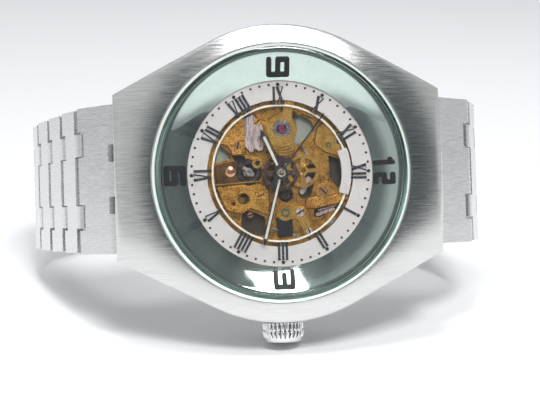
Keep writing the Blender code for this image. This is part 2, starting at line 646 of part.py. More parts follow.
def make_clasp(frame_empty, end_s):
    def at(thing, origin, finish=STEEL):
        x, z = bent(*origin)
        return put(thing, (x, 0, z), frame_empty, finish=finish)

    half = BLADE_HALF_WIDTH
    column = [share * WIDTH_AT_CLASP for share in COLUMN_SHARES]
    prongs = [(column[i] + COLUMN_GAP, column[i + 1] - COLUMN_GAP) for i in (1, 3)]

    # inner blade: hinged on the last link's pin, with the middle blade's hinge at its far end
    start = (end_s, 0.0)
    inner = solid("clasp_inner_blade", [
        (strip(BLADE_HINGE_S, end_s - 2.2, -1.6, -0.95, start), -half, half),
        (strip(end_s - 3.2, end_s - 1.3, -1.55, 0.3, start, 2), -half, half),
        *[(strip(end_s - 2.2, end_s, -0.7, 0.5, start, 2), *prong) for prong in prongs],
        *[(knuckle(end_s, 0, start, KNUCKLE - 0.05), *prong) for prong in prongs],
        (knuckle(BLADE_HINGE_S, BLADE_HINGE_R, start), -half, -half / 3 - 0.1),
        (knuckle(BLADE_HINGE_S, BLADE_HINGE_R, start), half / 3 + 0.1, half),
    ], "y")
    cut_round(inner, "inner_bore", (0, 0), PIN_HOLE, -10, 10)
    tongue_gap = strip(BLADE_HINGE_S - 2, BLADE_HINGE_S + 0.95, -3, 1, start, 2)
    cutaway = solid("inner_notch", [(tongue_gap, -half / 3 - 0.1, half / 3 + 0.1)], "y", CUTTERS)
    combine(inner, cutaway)
    pin = [(knuckle(BLADE_HINGE_S, BLADE_HINGE_R, start, 0.35), -half + 0.2, half - 0.2)]
    combine(inner, solid("inner_pin", pin, "y", CUTTERS), "UNION")
    at(inner, start)

    # middle blade: folds out about the inner blade's far end and carries the cover
    start = (BLADE_HINGE_S, BLADE_HINGE_R)
    middle = solid("clasp_middle_blade", [
        (strip(BLADE_HINGE_S + 0.9, COVER_HINGE_S, -0.55, 0.1, start), -half, half),
        (strip(BLADE_HINGE_S, BLADE_HINGE_S + 1.4, -0.95, 0.0, start, 2), -half / 3, half / 3),
        (knuckle(*start, start), -half / 3, half / 3),
        (knuckle(COVER_HINGE_S, 0, start, 0.6), -half, half),
        (knuckle(COVER_HINGE_S, 0, start, 0.35), -COVER_HALF_WIDTH + 0.25, COVER_HALF_WIDTH - 0.25),
    ], "y")
    cut_round(middle, "middle_bore", (0, 0), 0.45, -10, 10)
    for i, edge in enumerate((-half, half / 3)):
        combine(middle, notch_bent(f"middle_notch{i}", start, edge - 0.2, edge + 2 * half / 3 + 0.2))
    at(middle, start)

    # cover: a bent tray over both blades, hooked over the far chain's pin
    start = (COVER_HINGE_S, 0.0)
    wide = COVER_HALF_WIDTH
    tray = strip(-end_s + 1.75, COVER_HINGE_S + 1.4, -0.9, 1.9, start, 8)
    cover = solid("clasp_cover", [(tray, -wide, wide)], "y")
    hollow = strip(-end_s - 1, COVER_HINGE_S + 3, -2, 1.0, start, 8)
    combine(cover, solid("cover_hollow", [(hollow, -wide + 0.8, wide - 0.8)], "y", CUTTERS))
    for i, prong in enumerate(prongs):
        saddle = strip(-end_s, -end_s + 2.2, 0.2, 1.3, start, 2)
        combine(cover, solid(f"cover_hook{i}", [(saddle, *prong)], "y", CUTTERS), "UNION")
    cut_round(cover, "cover_saddle", bent(-end_s, 0, start), PIN_HOLE, -wide + 1, wide - 1)
    cut_round(cover, "cover_pin", (0, 0), 0.45, -wide + 0.2, wide - 0.2)
    cut_round(cover, "cover_button", bent(BUTTON_S, 0, start), 0.8, -20, 20)
    at(cover, start)

    for hour, side in (("9", -1), ("3", 1)):
        ends = sorted((side * (wide - 1.6), side * (wide + 0.3)))
        button = solid(f"push_button_{hour}", [(circle(0.7, sides=16), *ends)], "y")
        at(button, (BUTTON_S, 0), POLISHED)


def notch_bent(name, start, low, high):
    """Clears the middle blade round the inner blade's knuckles."""
    outline = strip(BLADE_HINGE_S - 2, BLADE_HINGE_S + 0.95, -2, 1, start, 2)
    return solid(name, [(outline, low, high)], "y", CUTTERS)


def clasp_matrix():
    """Where the middle of the clasp's bend lies in the watch's frame."""
    centre, _, along, out = clasp_frame()
    columns = (Vector((along.x, 0, along.y)), Vector((0, -1, 0)), Vector((out.x, 0, out.y)))
    matrix = Matrix([[columns[j][i] for j in range(3)] for i in range(3)]).to_4x4()
    middle = centre + out * CLASP_RADIUS
    matrix.translation = Vector((middle.x, 0, middle.y)) * MM
    return matrix


def stance():
    """The lean back, in radians, at which the crown and the clasp's edge both touch the table."""
    centre, _, _, _ = clasp_frame()
    lowest = centre.y - (CLASP_RADIUS + 1.9)
    rise = -CROWN_OUTER_Y - COVER_HALF_WIDTH
    run = STEM_Z - 2.6 - lowest
    lean = math.atan2(rise, run)
    height = -(CROWN_OUTER_Y * math.cos(lean) + (STEM_Z - 2.6) * math.sin(lean))
    return lean, height


clear_scene()
WATCH = new_collection("skeleton_wristwatch")
CUTTERS = new_collection("cutters")
WATCH_ROOT = empty("watch")
make_case()
make_dial()
make_plates()
make_bridges()
make_train()
make_escapement()
make_motion_work()
make_hands()
make_winding()
make_rotor()
SIDE_12 = empty("side_12", WATCH_ROOT)
SIDE_6 = empty("side_6", WATCH_ROOT)
SIDE_6.rotation_euler.z = math.pi
make_side("12", LEANS_12, SIDE_12)
make_side("6", LEANS_6, SIDE_6)
make_clasp(empty("clasp", WATCH_ROOT, matrix=clasp_matrix()), clasp_frame()[1])
LEAN, HEIGHT = stance()
WATCH_ROOT.rotation_euler.x = math.pi / 2 - LEAN
WATCH_ROOT.location = (MIDDLE_X * MM, MIDDLE_Y * MM, HEIGHT * MM)
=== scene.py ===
"""The visible skeleton wristwatch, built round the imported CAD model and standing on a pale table."""
import json
import math

import bmesh
import bpy
import numpy as np
from mathutils import Matrix, Vector


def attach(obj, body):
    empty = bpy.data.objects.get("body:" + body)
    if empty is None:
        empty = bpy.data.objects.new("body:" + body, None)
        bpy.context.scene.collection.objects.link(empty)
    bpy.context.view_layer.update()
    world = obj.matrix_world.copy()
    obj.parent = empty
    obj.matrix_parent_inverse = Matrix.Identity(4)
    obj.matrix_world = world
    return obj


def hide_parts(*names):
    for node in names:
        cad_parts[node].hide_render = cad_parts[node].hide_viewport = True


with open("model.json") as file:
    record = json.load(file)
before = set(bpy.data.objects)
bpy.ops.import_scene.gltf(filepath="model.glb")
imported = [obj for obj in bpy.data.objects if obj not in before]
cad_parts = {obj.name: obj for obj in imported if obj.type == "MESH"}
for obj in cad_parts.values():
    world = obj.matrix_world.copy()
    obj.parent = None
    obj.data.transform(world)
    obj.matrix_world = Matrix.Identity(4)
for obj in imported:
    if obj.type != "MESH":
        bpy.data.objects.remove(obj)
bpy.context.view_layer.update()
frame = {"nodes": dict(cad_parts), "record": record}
MM = 0.001

# --- the watch's own axes: x from 6 to 12 o'clock, y from 3 to 9 o'clock, z out of the dial, in mm ---
NODES, BODIES = frame["nodes"], frame["record"]["behaviour"]["bodies"]
JOINTS = {joint["name"]: joint for joint in frame["record"]["behaviour"]["joints"]}
FOURTH_Z = 4.1
OUT = -Vector(JOINTS["fourth_spin"]["axis"]).normalized()
NINE = -Vector(JOINTS["crown_spin"]["axis"]).normalized()
TWELVE = NINE.cross(OUT)
CENTRE = Vector(JOINTS["fourth_spin"]["pos_m"]) - OUT * FOURTH_Z * MM
WATCH = Matrix.Translation(CENTRE) @ Matrix((TWELVE, NINE, OUT)).transposed().to_4x4() @ Matrix.Scale(MM, 4)
UNWATCH = WATCH.inverted()


# --- driving dimensions (mm, degrees) ---
CASE_R, CASE_END_X, CASE_END_HALF = 20.0, 22.2, 11.1
BEZEL_R, BEZEL_Z, CASE_FOOT_Z = 17.4, 10.45, 1.3
BORE_R, SEAT_R = 17.1, 17.36
OUTER_FOOT_R, FOOT_OUTER_Z, FOOT_ROUND_Z = 20.5, 2.8, 2.125
GLASS_R, GLASS_TOP, GLASS_LOW = 16.9, 11.2, 9.65
RING_OUT, RING_IN, RING_TOP = 12.6, 9.87, 8.0
RING_FOOT, RING_EDGE = 7.62, 7.97
CHAPTER_OUT, CHAPTER_IN, CHAPTER_EDGE = 9.3, 9.03, 7.96
PLAQUE_OUT, PLAQUE_IN, PLAQUE_HALF = 9.62, 8.28, 19.5
DOT_PLACE, HOUR_DOT, MINUTE_DOT = 11.98, 0.25, 0.17
STEM_Z = 5.2
FLANGE_LOW, FLANGE_HIGH = (12.52, 8.16), (16.2, 9.55)
FLANGE_BACK, FLANGE_FOOT = 16.4, 8.05
HOUR_ANGLE, MINUTE_ANGLE, SECOND_ANGLE = 113.5, -105.1, 52.7
HOUR_Z, MINUTE_Z, SECOND_Z = 8.42, 8.72, 9.02


# --- materials ---
class Nodes:
    """A node tree written as nested calls."""

    def __init__(self, name):
        self.material = bpy.data.materials.new(name)
        self.material.use_nodes = True
        self.tree = self.material.node_tree
        self.tree.nodes.clear()
        self.out = self.add("OutputMaterial")

    def add(self, kind, **sockets):
        node = self.tree.nodes.new("ShaderNode" + kind)
        for key, value in sockets.items():
            self.set(node, key.replace("_", " "), value)
        return node

    def set(self, node, key, value):
        socket = node.inputs[int(key)] if key.isdigit() else node.inputs[key]
        if isinstance(value, bpy.types.NodeSocket):
            self.tree.links.new(value, socket)
        else:
            socket.default_value = value

    def place(self, scale):
        """Where a point lies in the watch's axes, in mm, stretched by scale."""
        attribute = self.add("Attribute")
        attribute.attribute_name = "place"
        mapping = self.add("Mapping", Vector=attribute.outputs["Vector"], Scale=scale)
        return mapping.outputs["Vector"]

    def noise(self, scale, detail=3.0, roughness=0.5):
        """Noise whose grain is finer along an axis where scale is larger."""
        node = self.add("TexNoise", Vector=self.place(scale), Scale=1.0, Detail=detail, Roughness=roughness)
        return node.outputs["Fac"]

    def span(self, value, low, high, start=0.3, stop=0.7):
        """A value between start and stop, spread from low to high."""
        ends = {"From_Min": start, "From_Max": stop, "To_Min": low, "To_Max": high}
        return self.add("MapRange", Value=value, **ends).outputs["Result"]

    def blend(self, factor, a, b):
        node = self.add("Mix")
        node.data_type = "RGBA"
        self.set(node, "0", factor)
        self.set(node, "6", (*a, 1) if isinstance(a, tuple) else a)
        self.set(node, "7", (*b, 1) if isinstance(b, tuple) else b)
        return node.outputs[2]

    def bump(self, height, strength, distance):
        return self.add("Bump", Height=height, Strength=strength, Distance=distance * MM).outputs["Normal"]

    def surface(self, **sockets):
        shader = self.add("BsdfPrincipled", **sockets)
        self.tree.links.new(shader.outputs["BSDF"], self.out.inputs["Surface"])
        return self.material


def brushed(name, colour, dark, rough=(0.30, 0.46), grain=(0.3, 7.0, 0.3), strength=0.6):
    """Steel with straight grain along x."""
    n = Nodes(name)
    fine = n.noise(grain, 4.0, 0.65)
    broad = n.noise((0.05, 0.6, 0.05), 2.0)
    tone = n.blend(n.span(fine, 0, 1, 0.25, 0.75), dark, colour)
    tone = n.blend(n.span(broad, 0.0, 0.35), tone, colour)
    shade, normal = n.span(fine, *rough), n.bump(fine, strength, 0.02)
    return n.surface(Base_Color=tone, Metallic=1.0, Roughness=shade, Normal=normal)


def polished(name, colour, rough):
    """Polished metal with a faint smear."""
    n = Nodes(name)
    smear = n.noise((0.6, 0.6, 0.6))
    tone = n.blend(n.span(smear, 0, 0.25), colour, tuple(0.8 * c for c in colour))
    return n.surface(Base_Color=tone, Metallic=1.0, Roughness=n.span(smear, *rough))


def gilt(name, colour, brown, speckled=0.35, rough=(0.2, 0.36), size=1.0):
    """Gilt brass with fine engraving: dark specks and broad, worn patches."""
    n = Nodes(name)
    patch = n.noise((0.55 * size, 0.55 * size, 0.55 * size))
    speck = n.noise((4.5 * size, 4.5 * size, 4.5 * size), 3.0, 0.7)
    tone = n.blend(n.span(patch, 0, 0.7, 0.40, 0.62), colour, brown)
    tone = n.blend(n.span(speck, speckled * 2.2, 0, 0.34, 0.50), tone, tuple(0.5 * c for c in brown))
    shade, normal = n.span(speck, *rough), n.bump(speck, 0.35, 0.03)
    return n.surface(Base_Color=tone, Metallic=1.0, Roughness=shade, Normal=normal)


def painted(name, colour, speckle, rough=0.45, metallic=0.0, shine=0.5):
    """Paint, print or plastic with a fine speckle."""
    n = Nodes(name)
    grains = n.noise((9, 9, 9), 2.0)
    tone = n.blend(n.span(grains, 0, 1, 0.4, 0.62), speckle, colour)
    shade = n.span(n.noise((1.5, 1.5, 1.5)), rough - 0.05, rough + 0.05)
    normal = n.bump(grains, 0.08, 0.02)
    return n.surface(
        Base_Color=tone, Metallic=metallic, Roughness=shade, Specular_IOR_Level=shine, Normal=normal
    )


def ruby(name):
    """Dark ruby under a clear polish."""
    n = Nodes(name)
    shade_floor = n.noise((1.6, 1.6, 1.6))
    tone = n.blend(n.span(shade_floor, 0, 1), (0.07, 0.008, 0.03), (0.20, 0.015, 0.06))
    shade = n.span(shade_floor, 0.04, 0.1)
    return n.surface(Base_Color=tone, Roughness=shade, Coat_Weight=1.0, Coat_Roughness=0.03)


def clear(name, colour, shade_floor):
    """Sapphire that lets lamps through to what it covers."""
    n = Nodes(name)
    smear = n.noise((0.25, 0.25, 0.25))
    tone = n.blend(n.span(smear, 0, shade_floor), colour, tuple(0.9 * c for c in colour))
    shade = n.span(smear, 0.0, 0.02)
    glass = n.add("BsdfPrincipled", Base_Color=tone, Roughness=shade, IOR=1.6, Transmission_Weight=1.0)
    lamp = n.add("BsdfTransparent")
    path = n.add("LightPath")
    inputs = {"0": path.outputs["Is Shadow Ray"], "1": glass.outputs[0], "2": lamp.outputs[0]}
    mix = n.add("MixShader", **inputs)
    n.tree.links.new(mix.outputs[0], n.out.inputs["Surface"])
    return n.material


SMALL_GRAIN = (2.5, 2.5, 2.5)
STEEL = brushed("steel_brushed", (0.80, 0.80, 0.77), (0.52, 0.52, 0.52), (0.15, 0.27), strength=0.3)
LINK_STEEL = brushed(
    "steel_links", (0.80, 0.80, 0.79), (0.62, 0.62, 0.63), (0.20, 0.34), (0.5, 6.0, 0.5), 0.35)
MIRROR = polished("steel_mirror", (0.66, 0.75, 0.71), (0.03, 0.07))
BRIGHT = polished("steel_bright", (0.82, 0.82, 0.82), (0.08, 0.16))
GOLD = gilt("gilt", (0.95, 0.49, 0.10), (0.46, 0.20, 0.035), 0.28)
DEEP_GOLD = gilt("gilt_deep", (0.55, 0.32, 0.09), (0.20, 0.10, 0.03), 0.4)
PALE_GOLD = gilt("gilt_pale", (1.0, 0.60, 0.15), (0.70, 0.34, 0.06), 0.15, (0.14, 0.28))
GEAR_STEEL = brushed("steel_gear", (0.50, 0.49, 0.48), (0.20, 0.19, 0.19), (0.22, 0.4), SMALL_GRAIN, 0.2)
DARK_STEEL = brushed("steel_dark", (0.12, 0.10, 0.10), (0.03, 0.03, 0.03), (0.2, 0.4), SMALL_GRAIN, 0.2)
ROSE_STEEL = brushed(
    "steel_rose", (0.86, 0.72, 0.70), (0.62, 0.46, 0.46), (0.2, 0.35), (4.5, 0.6, 0.6), 0.3)
WHITE = painted("lacquer_white", (0.40, 0.37, 0.365), (0.31, 0.285, 0.285))
IVORY = painted("lacquer_ivory", (0.52, 0.49, 0.42), (0.44, 0.41, 0.34))
BLACK = painted("print_black", (0.004, 0.005, 0.007), (0.010, 0.011, 0.013), 0.5, shine=0.12)
NUMERAL = painted("numeral_dark", (0.022, 0.022, 0.030), (0.07, 0.07, 0.085), 0.25, 0.6)
HAND_BLACK = painted("hand_black", (0.012, 0.010, 0.012), (0.05, 0.045, 0.045), 0.18, 0.4)
HAND_FILL = painted("hand_fill", (0.40, 0.385, 0.34), (0.33, 0.315, 0.28), 0.3)
PLASTIC = painted("holder_white", (0.72, 0.74, 0.72), (0.62, 0.64, 0.62))
RUBBER = painted("rubber_black", (0.02, 0.02, 0.02), (0.04, 0.04, 0.04), 0.6)
ROUGH_GOLD = gilt("gilt_rough", (0.66, 0.33, 0.07), (0.20, 0.09, 0.02), 0.42, (0.22, 0.4), 1.5)
BROWN = gilt("gilt_brown", (0.20, 0.10, 0.04), (0.08, 0.04, 0.015), 0.3, (0.25, 0.4))
COPPER = polished("copper", (0.80, 0.42, 0.24), (0.15, 0.28))
JEWEL_STEEL = brushed(
    "jewel_steel", (0.52, 0.48, 0.54), (0.30, 0.27, 0.33), (0.15, 0.3), (3.0, 3.0, 3.0), 0.1)
GREEN = painted("bush_green", (0.03, 0.05, 0.03), (0.06, 0.08, 0.05), 0.25)
# near-black for screw slots and holes: painted shade
SHADE_BLACK = painted("painted_shade_black", (0.004, 0.004, 0.004), (0.010, 0.009, 0.007), 0.7, shine=0.1)
# near-black brown for the floors down the openings: painted shade
DEPTH = painted("painted_shade_brown", (0.010, 0.007, 0.005), (0.032, 0.022, 0.014), 0.5, shine=0.2)
PALE_DEPTH = painted("depth_pale", (0.20, 0.215, 0.18), (0.12, 0.135, 0.12), 0.5)
HUB_BROWN = brushed(
    "hub_brown", (0.20, 0.12, 0.10), (0.06, 0.04, 0.035), (0.18, 0.35), SMALL_GRAIN, 0.2)
RUBY = ruby("ruby")
GLASS = clear("sapphire", (0.97, 0.995, 0.985), 0.3)
EDGE = clear("sapphire_edge", (0.50, 0.80, 0.72), 1.0)


# --- meshes, made in the watch's axes ---
def finish_mesh(name, mesh, body, material, replaces=(), smooth=35):
    """Stores each point's place for the materials, then stands the mesh in the scene, on its body."""
    mesh.validate()
    co = np.empty(len(mesh.vertices) * 3, np.float32)
    mesh.vertices.foreach_get("co", co)
    place = mesh.attributes.new("place", "FLOAT_VECTOR", "POINT")
    place.data.foreach_set("vector", co)
    mesh.transform(WATCH)
    mesh.shade_smooth()
    mesh.set_sharp_from_angle(angle=math.radians(smooth))
    mesh.materials.clear()
    mesh.materials.append(material)
    piece = bpy.data.objects.new(name, mesh)
    bpy.context.scene.collection.objects.link(piece)
    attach(piece, body)
    if replaces:
        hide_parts(*replaces)


def mesh_from(bm, name):
    """A mesh with its faces turned outward."""
    mesh = bpy.data.meshes.new(name)
    bmesh.ops.recalc_face_normals(bm, faces=bm.faces)
    bm.to_mesh(mesh)
    bm.free()
    return mesh


def joined(name, meshes):
    """Several meshes as one, in their order."""
    bm = bmesh.new()
    for mesh in meshes:
        bm.from_mesh(mesh)
    out = bpy.data.meshes.new(name)
    bm.to_mesh(out)
    bm.free()
    return out


def polar(radius, degrees, centre=(0.0, 0.0)):
    """The point at a radius and an angle from a centre."""
    turn = math.radians(degrees)
    return (centre[0] + radius * math.cos(turn), centre[1] + radius * math.sin(turn))


def rings(name, rows, closed=True):
    """A mesh through closed rows of points; closed joins the last row to the first, open caps both."""
    bm = bmesh.new()
    made = [[bm.verts.new(p) for p in row] for row in rows]
    count = len(rows[0])
    for a, b in zip(made, made[1:] + ([made[0]] if closed else [])):
        for i in range(count):
            j = (i + 1) % count
            bm.faces.new((a[i], a[j], b[j], b[i]))
    if not closed:
        bm.faces.new(made[0])
        bm.faces.new(made[-1])
    return mesh_from(bm, name)


def turned(name, profile, sides=96, centre=(0, 0), closed=True):
    """A turned shape about z: profile is (radius, z); an open one is capped at both ends."""
    rows = [[(*polar(r, 360 * i / sides, centre), z) for i in range(sides)] for r, z in profile]
    return rings(name, rows, closed)


def prism(name, outline, low, high, bevel=0.0):
    """An upright prism with its top edge bevelled."""
    bm = bmesh.new()
    face = bm.faces.new([bm.verts.new((x, y, low)) for x, y in outline])
    top = bmesh.ops.extrude_face_region(bm, geom=[face])
    moved = [v for v in top["geom"] if isinstance(v, bmesh.types.BMVert)]
    bmesh.ops.translate(bm, verts=moved, vec=(0, 0, high - low))
    if bevel:
        edges = [e for e in bm.edges if all(v in moved for v in e.verts)]
        bmesh.ops.bevel(bm, geom=edges, offset=bevel, segments=2, affect="EDGES", clamp_overlap=True)
    return mesh_from(bm, name)


def bar(start, end, width, end_width=None):
    """The outline of a straight bar, as wide at its end as at its start unless told."""
    a, b = Vector(start), Vector(end)
    side = (b - a).normalized().orthogonal() * 0.5
    end_width = width if end_width is None else end_width
    corners = (a + side * width, a - side * width, b - side * end_width, b + side * end_width)
    return [tuple(corner) for corner in corners]


def teeth(count, radius, shade_floor, centre=(0, 0)):
    """A toothed outline: each tooth rises and falls within its share of the turn."""
    root = radius - shade_floor
    shape = ((0.0, root), (0.18, root), (0.34, radius), (0.66, radius), (0.82, root))
    return [polar(r, 360 / count * (i + t), centre) for i in range(count) for t, r in shape]


# --- plates drawn as fields of distance, in smooth unions ---
def disc(x, y, cx, cy, r):
    """Distance to a circle, negative inside."""
    return np.hypot(x - cx, y - cy) - r


def capsule(x, y, a, b, r):
    """Distance to a bar with round ends, negative inside."""
    ax, ay = a
    dx, dy = b[0] - ax, b[1] - ay
    t = np.clip(((x - ax) * dx + (y - ay) * dy) / (dx * dx + dy * dy), 0, 1)
    return np.hypot(x - ax - t * dx, y - ay - t * dy) - r


def fuse(fields, soft=0.7):
    """A smooth union: the corners between the shapes are filled."""
    total = fields[0]
    for field in fields[1:]:
        h = np.clip(0.5 + 0.5 * (field - total) / soft, 0, 1)
        total = field * (1 - h) + total * h - soft * h * (1 - h)
    return total


def cut(field, holes):
    """A shape without its holes."""
    for hole in holes:
        field = np.maximum(field, -hole)
    return field


def loops(field, reach, step):
    """The zero lines of field(x, y) as closed loops of points."""
    axis = np.arange(-reach, reach + step, step)
    grid = field(*np.meshgrid(axis, axis))
    links = {}

    def crossing(j, i, dj, di):
        a, b = grid[j, i], grid[j + dj, i + di]
        t = a / (a - b)
        return (axis[i] + t * step * di, axis[j] + t * step * dj)

    sign = grid < 0
    inside = sign.astype(int)
    mixed = inside[:-1, :-1] + inside[1:, :-1] + inside[:-1, 1:] + inside[1:, 1:]
    for j, i in zip(*np.nonzero((mixed > 0) & (mixed < 4))):
        cell = [("h", j, i), ("v", j, i + 1), ("h", j + 1, i), ("v", j, i)]
        corner, right, above, across = (j, i), (j, i + 1), (j + 1, i), (j + 1, i + 1)
        ends = [(corner, right), (right, across), (above, across), (corner, above)]
        hit = [key for key, (a, b) in zip(cell, ends) if sign[a] != sign[b]]
        for a, b in zip(hit[::2], hit[1::2]):
            links.setdefault(a, []).append(b)
            links.setdefault(b, []).append(a)
    out, used = [], set()
    for start in links:
        if start in used:
            continue
        loop, here, last = [], start, None
        while here not in used:
            used.add(here)
            kind, j, i = here
            loop.append(crossing(j, i, 0, 1) if kind == "h" else crossing(j, i, 1, 0))
            ahead = [k for k in links[here] if k != last and k not in used]
            if not ahead:
                break
            last, here = here, ahead[0]
        if len(loop) > 5:
            out.append(loop)
    return out


def filled(name, outlines, low, high, chamfer=0.05):
    """A flat plate from closed outlines, holes among them, with chamfered edges."""
    curve = bpy.data.curves.new(name, "CURVE")
    curve.dimensions, curve.fill_mode = "2D", "BOTH"
    curve.extrude = (high - low) / 2 - chamfer
    curve.bevel_depth, curve.bevel_resolution, curve.offset = chamfer, 0, -chamfer
    for outline in outlines:
        spline = curve.splines.new("POLY")
        spline.points.add(len(outline) - 1)
        for point, (x, y) in zip(spline.points, outline):
            point.co = (x, y, 0, 1)
        spline.use_cyclic_u = True
    thing = bpy.data.objects.new(name, curve)
    bpy.context.scene.collection.objects.link(thing)
    mesh = bpy.data.meshes.new_from_object(thing.evaluated_get(bpy.context.evaluated_depsgraph_get()))
    bpy.data.objects.remove(thing)
    bm = bmesh.new()
    bm.from_mesh(mesh)
    bmesh.ops.remove_doubles(bm, verts=bm.verts, dist=1e-4)
    bmesh.ops.translate(bm, verts=bm.verts, vec=(0, 0, (low + high) / 2))
    return mesh_from(bm, name)


def plate(name, field, low, high, chamfer=0.05, reach=13.0, step=0.14):
    """A flat plate from a field(x, y) that is negative inside it."""
    return filled(name, loops(field, reach, step), low, high, chamfer)


# --- case ---
def case_reach(degrees):
    """How far the outline is from the middle: a round middle with straight flanks to flat ends."""
    c, s = abs(math.cos(math.radians(degrees))), abs(math.sin(math.radians(degrees)))
    end = CASE_END_X / c if c > 1e-6 else 99.0
    corner = math.hypot(CASE_END_X, CASE_END_HALF)
    tilt = math.atan2(CASE_END_HALF, CASE_END_X) + math.acos(CASE_R / corner)
    flank = CASE_R / max(math.cos(math.atan2(s, c) - tilt), 1e-6)
    return min(end, flank) if math.atan2(s, c) < tilt else CASE_R


def dome(r):
    """The case's upper surface: it leaves the bezel nearly flat and falls away faster further out."""
    run = max(r - BEZEL_R, 0)
    return BEZEL_Z - 0.20 * run - 0.0235 * run**2


def make_case():
    """The case's middle as rows round z, from the bore over the dome and the edge down to the foot."""
    corner = math.degrees(math.atan2(CASE_END_HALF, CASE_END_X))
    corners = (corner, 180 - corner, 180 + corner, 360 - corner)
    angles = sorted({round(i * 2.0, 3) for i in range(180)} | {round(a, 3) for a in corners})
    rows = [[] for _ in range(24)]
    for angle in angles:
        reach = case_reach(angle)
        at_end = abs(math.cos(math.radians(angle))) * reach > CASE_END_X - 0.01
        edge = 0.75 if at_end else 0.35
        lip = reach - edge
        points = [(BORE_R, CASE_FOOT_Z), (BORE_R, 8.0), (SEAT_R, 9.4), (SEAT_R, 10.3)]
        points += [(BEZEL_R + 0.06, BEZEL_Z - 0.02)]
        for i in range(11):
            r = BEZEL_R + 0.2 + (lip - BEZEL_R - 0.2) * i / 10
            points.append((r, dome(r)))
        top = dome(lip)
        points += [(lip + edge * 0.5, top - edge * 0.26), (reach - 0.08, top - edge * 0.72)]
        points += [(reach, top - edge)]
        outer = reach > OUTER_FOOT_R
        painted_shadow = FOOT_OUTER_Z if outer else FOOT_ROUND_Z
        under = 2.45 if outer else painted_shadow - 0.3
        points += [(reach, painted_shadow + 0.35), (reach - 0.3, painted_shadow), (min(reach - 0.5, 20.0), under)]
        points += [(18.3, CASE_FOOT_Z + 0.02), (17.6, CASE_FOOT_Z)]
        for row, (r, z) in zip(rows, points):
            row.append((*polar(r, angle), z))
    finish_mesh("case_body", rings("case", rows), "case", STEEL, ("case_middle",), 24)


def make_glass():
    """The crystal as a pane and an edge of deeper green, with the seal that holds it."""
    pane = turned("pane", [(GLASS_R - 0.45, GLASS_TOP), (GLASS_R - 0.45, GLASS_LOW)], 128, closed=False)
    finish_mesh("crystal_pane", pane, "case", GLASS, ("crystal",))
    edge = turned("edge", [
        (GLASS_R - 0.43, GLASS_TOP), (GLASS_R - 0.2, GLASS_TOP - 0.02), (GLASS_R - 0.05, GLASS_TOP - 0.12),
        (GLASS_R, GLASS_TOP - 0.3), (GLASS_R, GLASS_LOW), (GLASS_R - 0.43, GLASS_LOW),
    ], 128)
    finish_mesh("crystal_edge", edge, "case", EDGE)
    seal = turned("seal", [(17.3, 10.35), (17.3, 9.45), (16.94, 9.45), (16.94, 10.35)], 128)
    finish_mesh("crystal_seal", seal, "case", PLASTIC, ("crystal_gasket",))


def flange_z(r):
    """The height of the polished ring's slope at a radius."""
    (r0, z0), (r1, z1) = FLANGE_LOW, FLANGE_HIGH
    return z0 + (z1 - z0) * (r - r0) / (r1 - r0)


def make_flange():
    """The polished ring between the dial and the crystal, slightly hollow across its slope."""
    (inner, _), (outer, top) = FLANGE_LOW, FLANGE_HIGH
    profile = [(FLANGE_BACK, top), (FLANGE_BACK, FLANGE_FOOT), (inner, FLANGE_FOOT)]
    for r in np.linspace(inner, outer, 9):
        sag = 0.10 * math.sin(math.pi * (r - inner) / (outer - inner))
        profile.append((r, flange_z(r) - sag))
    ring = turned("flange", profile, 160)
    finish_mesh("flange_mirror", ring, "case", MIRROR, ("flange_ring",), 50)


# --- dial ---
SEGMENTS = {
    "1": [((0.5, 0), (0.5, 1)), ((0.1, 0.86), (0.5, 0.9))],
    "2": [((0, 1), (1, 1)), ((1, 1), (1, 0.5)), ((1, 0.5), (0, 0.5)), ((0, 0.5), (0, 0)), ((0, 0), (1, 0))],
    "3": [((0, 1), (1, 1)), ((1, 1), (1, 0)), ((1, 0), (0, 0)), ((0.2, 0.5), (1, 0.5))],
    "6": [((1, 1), (0, 1)), ((0, 1), (0, 0)), ((0, 0), (1, 0)), ((1, 0), (1, 0.5)), ((1, 0.5), (0, 0.5))],
    "9": [((0, 0), (1, 0)), ((1, 0), (1, 1)), ((1, 1), (0, 1)), ((0, 1), (0, 0.5)), ((0, 0.5), (1, 0.5))],
}


def big_number(text, middle, tall, wide, stroke):
    """A squared number upright with twelve at the top, lying on the flange."""
    gap = stroke * 0.75
    each = (wide - gap * (len(text) - 1)) / len(text)
    lines = []
    for i, digit in enumerate(text):
        left = -wide / 2 + i * (each + gap) + stroke / 2
        for a, b in SEGMENTS[digit]:
            ends = [(left + u * (each - stroke), (v - 0.5) * (tall - stroke)) for u, v in (a, b)]
            lines.append([(v, -u) for u, v in ends])

    def field(x, y):
        return np.minimum.reduce([capsule(x, y, a, b, stroke / 2) for a, b in lines])

    mesh = filled(f"number_{text}", loops(field, 2.6, 0.05), 0, 0.1, 0.02)
    for vertex in mesh.vertices:
        x, y = vertex.co.x + middle[0], vertex.co.y + middle[1]
        vertex.co = (x, y, flange_z(math.hypot(x, y)) + 0.02 + vertex.co.z)
    finish_mesh(f"number_{text}", mesh, "case", BLACK)


ROMAN = dict(enumerate("I II III IIII V VI VII VIII IX X XI XII".split(), 1))
LETTER_WIDTH = {"I": 0.52, "V": 1.15, "X": 1.15}


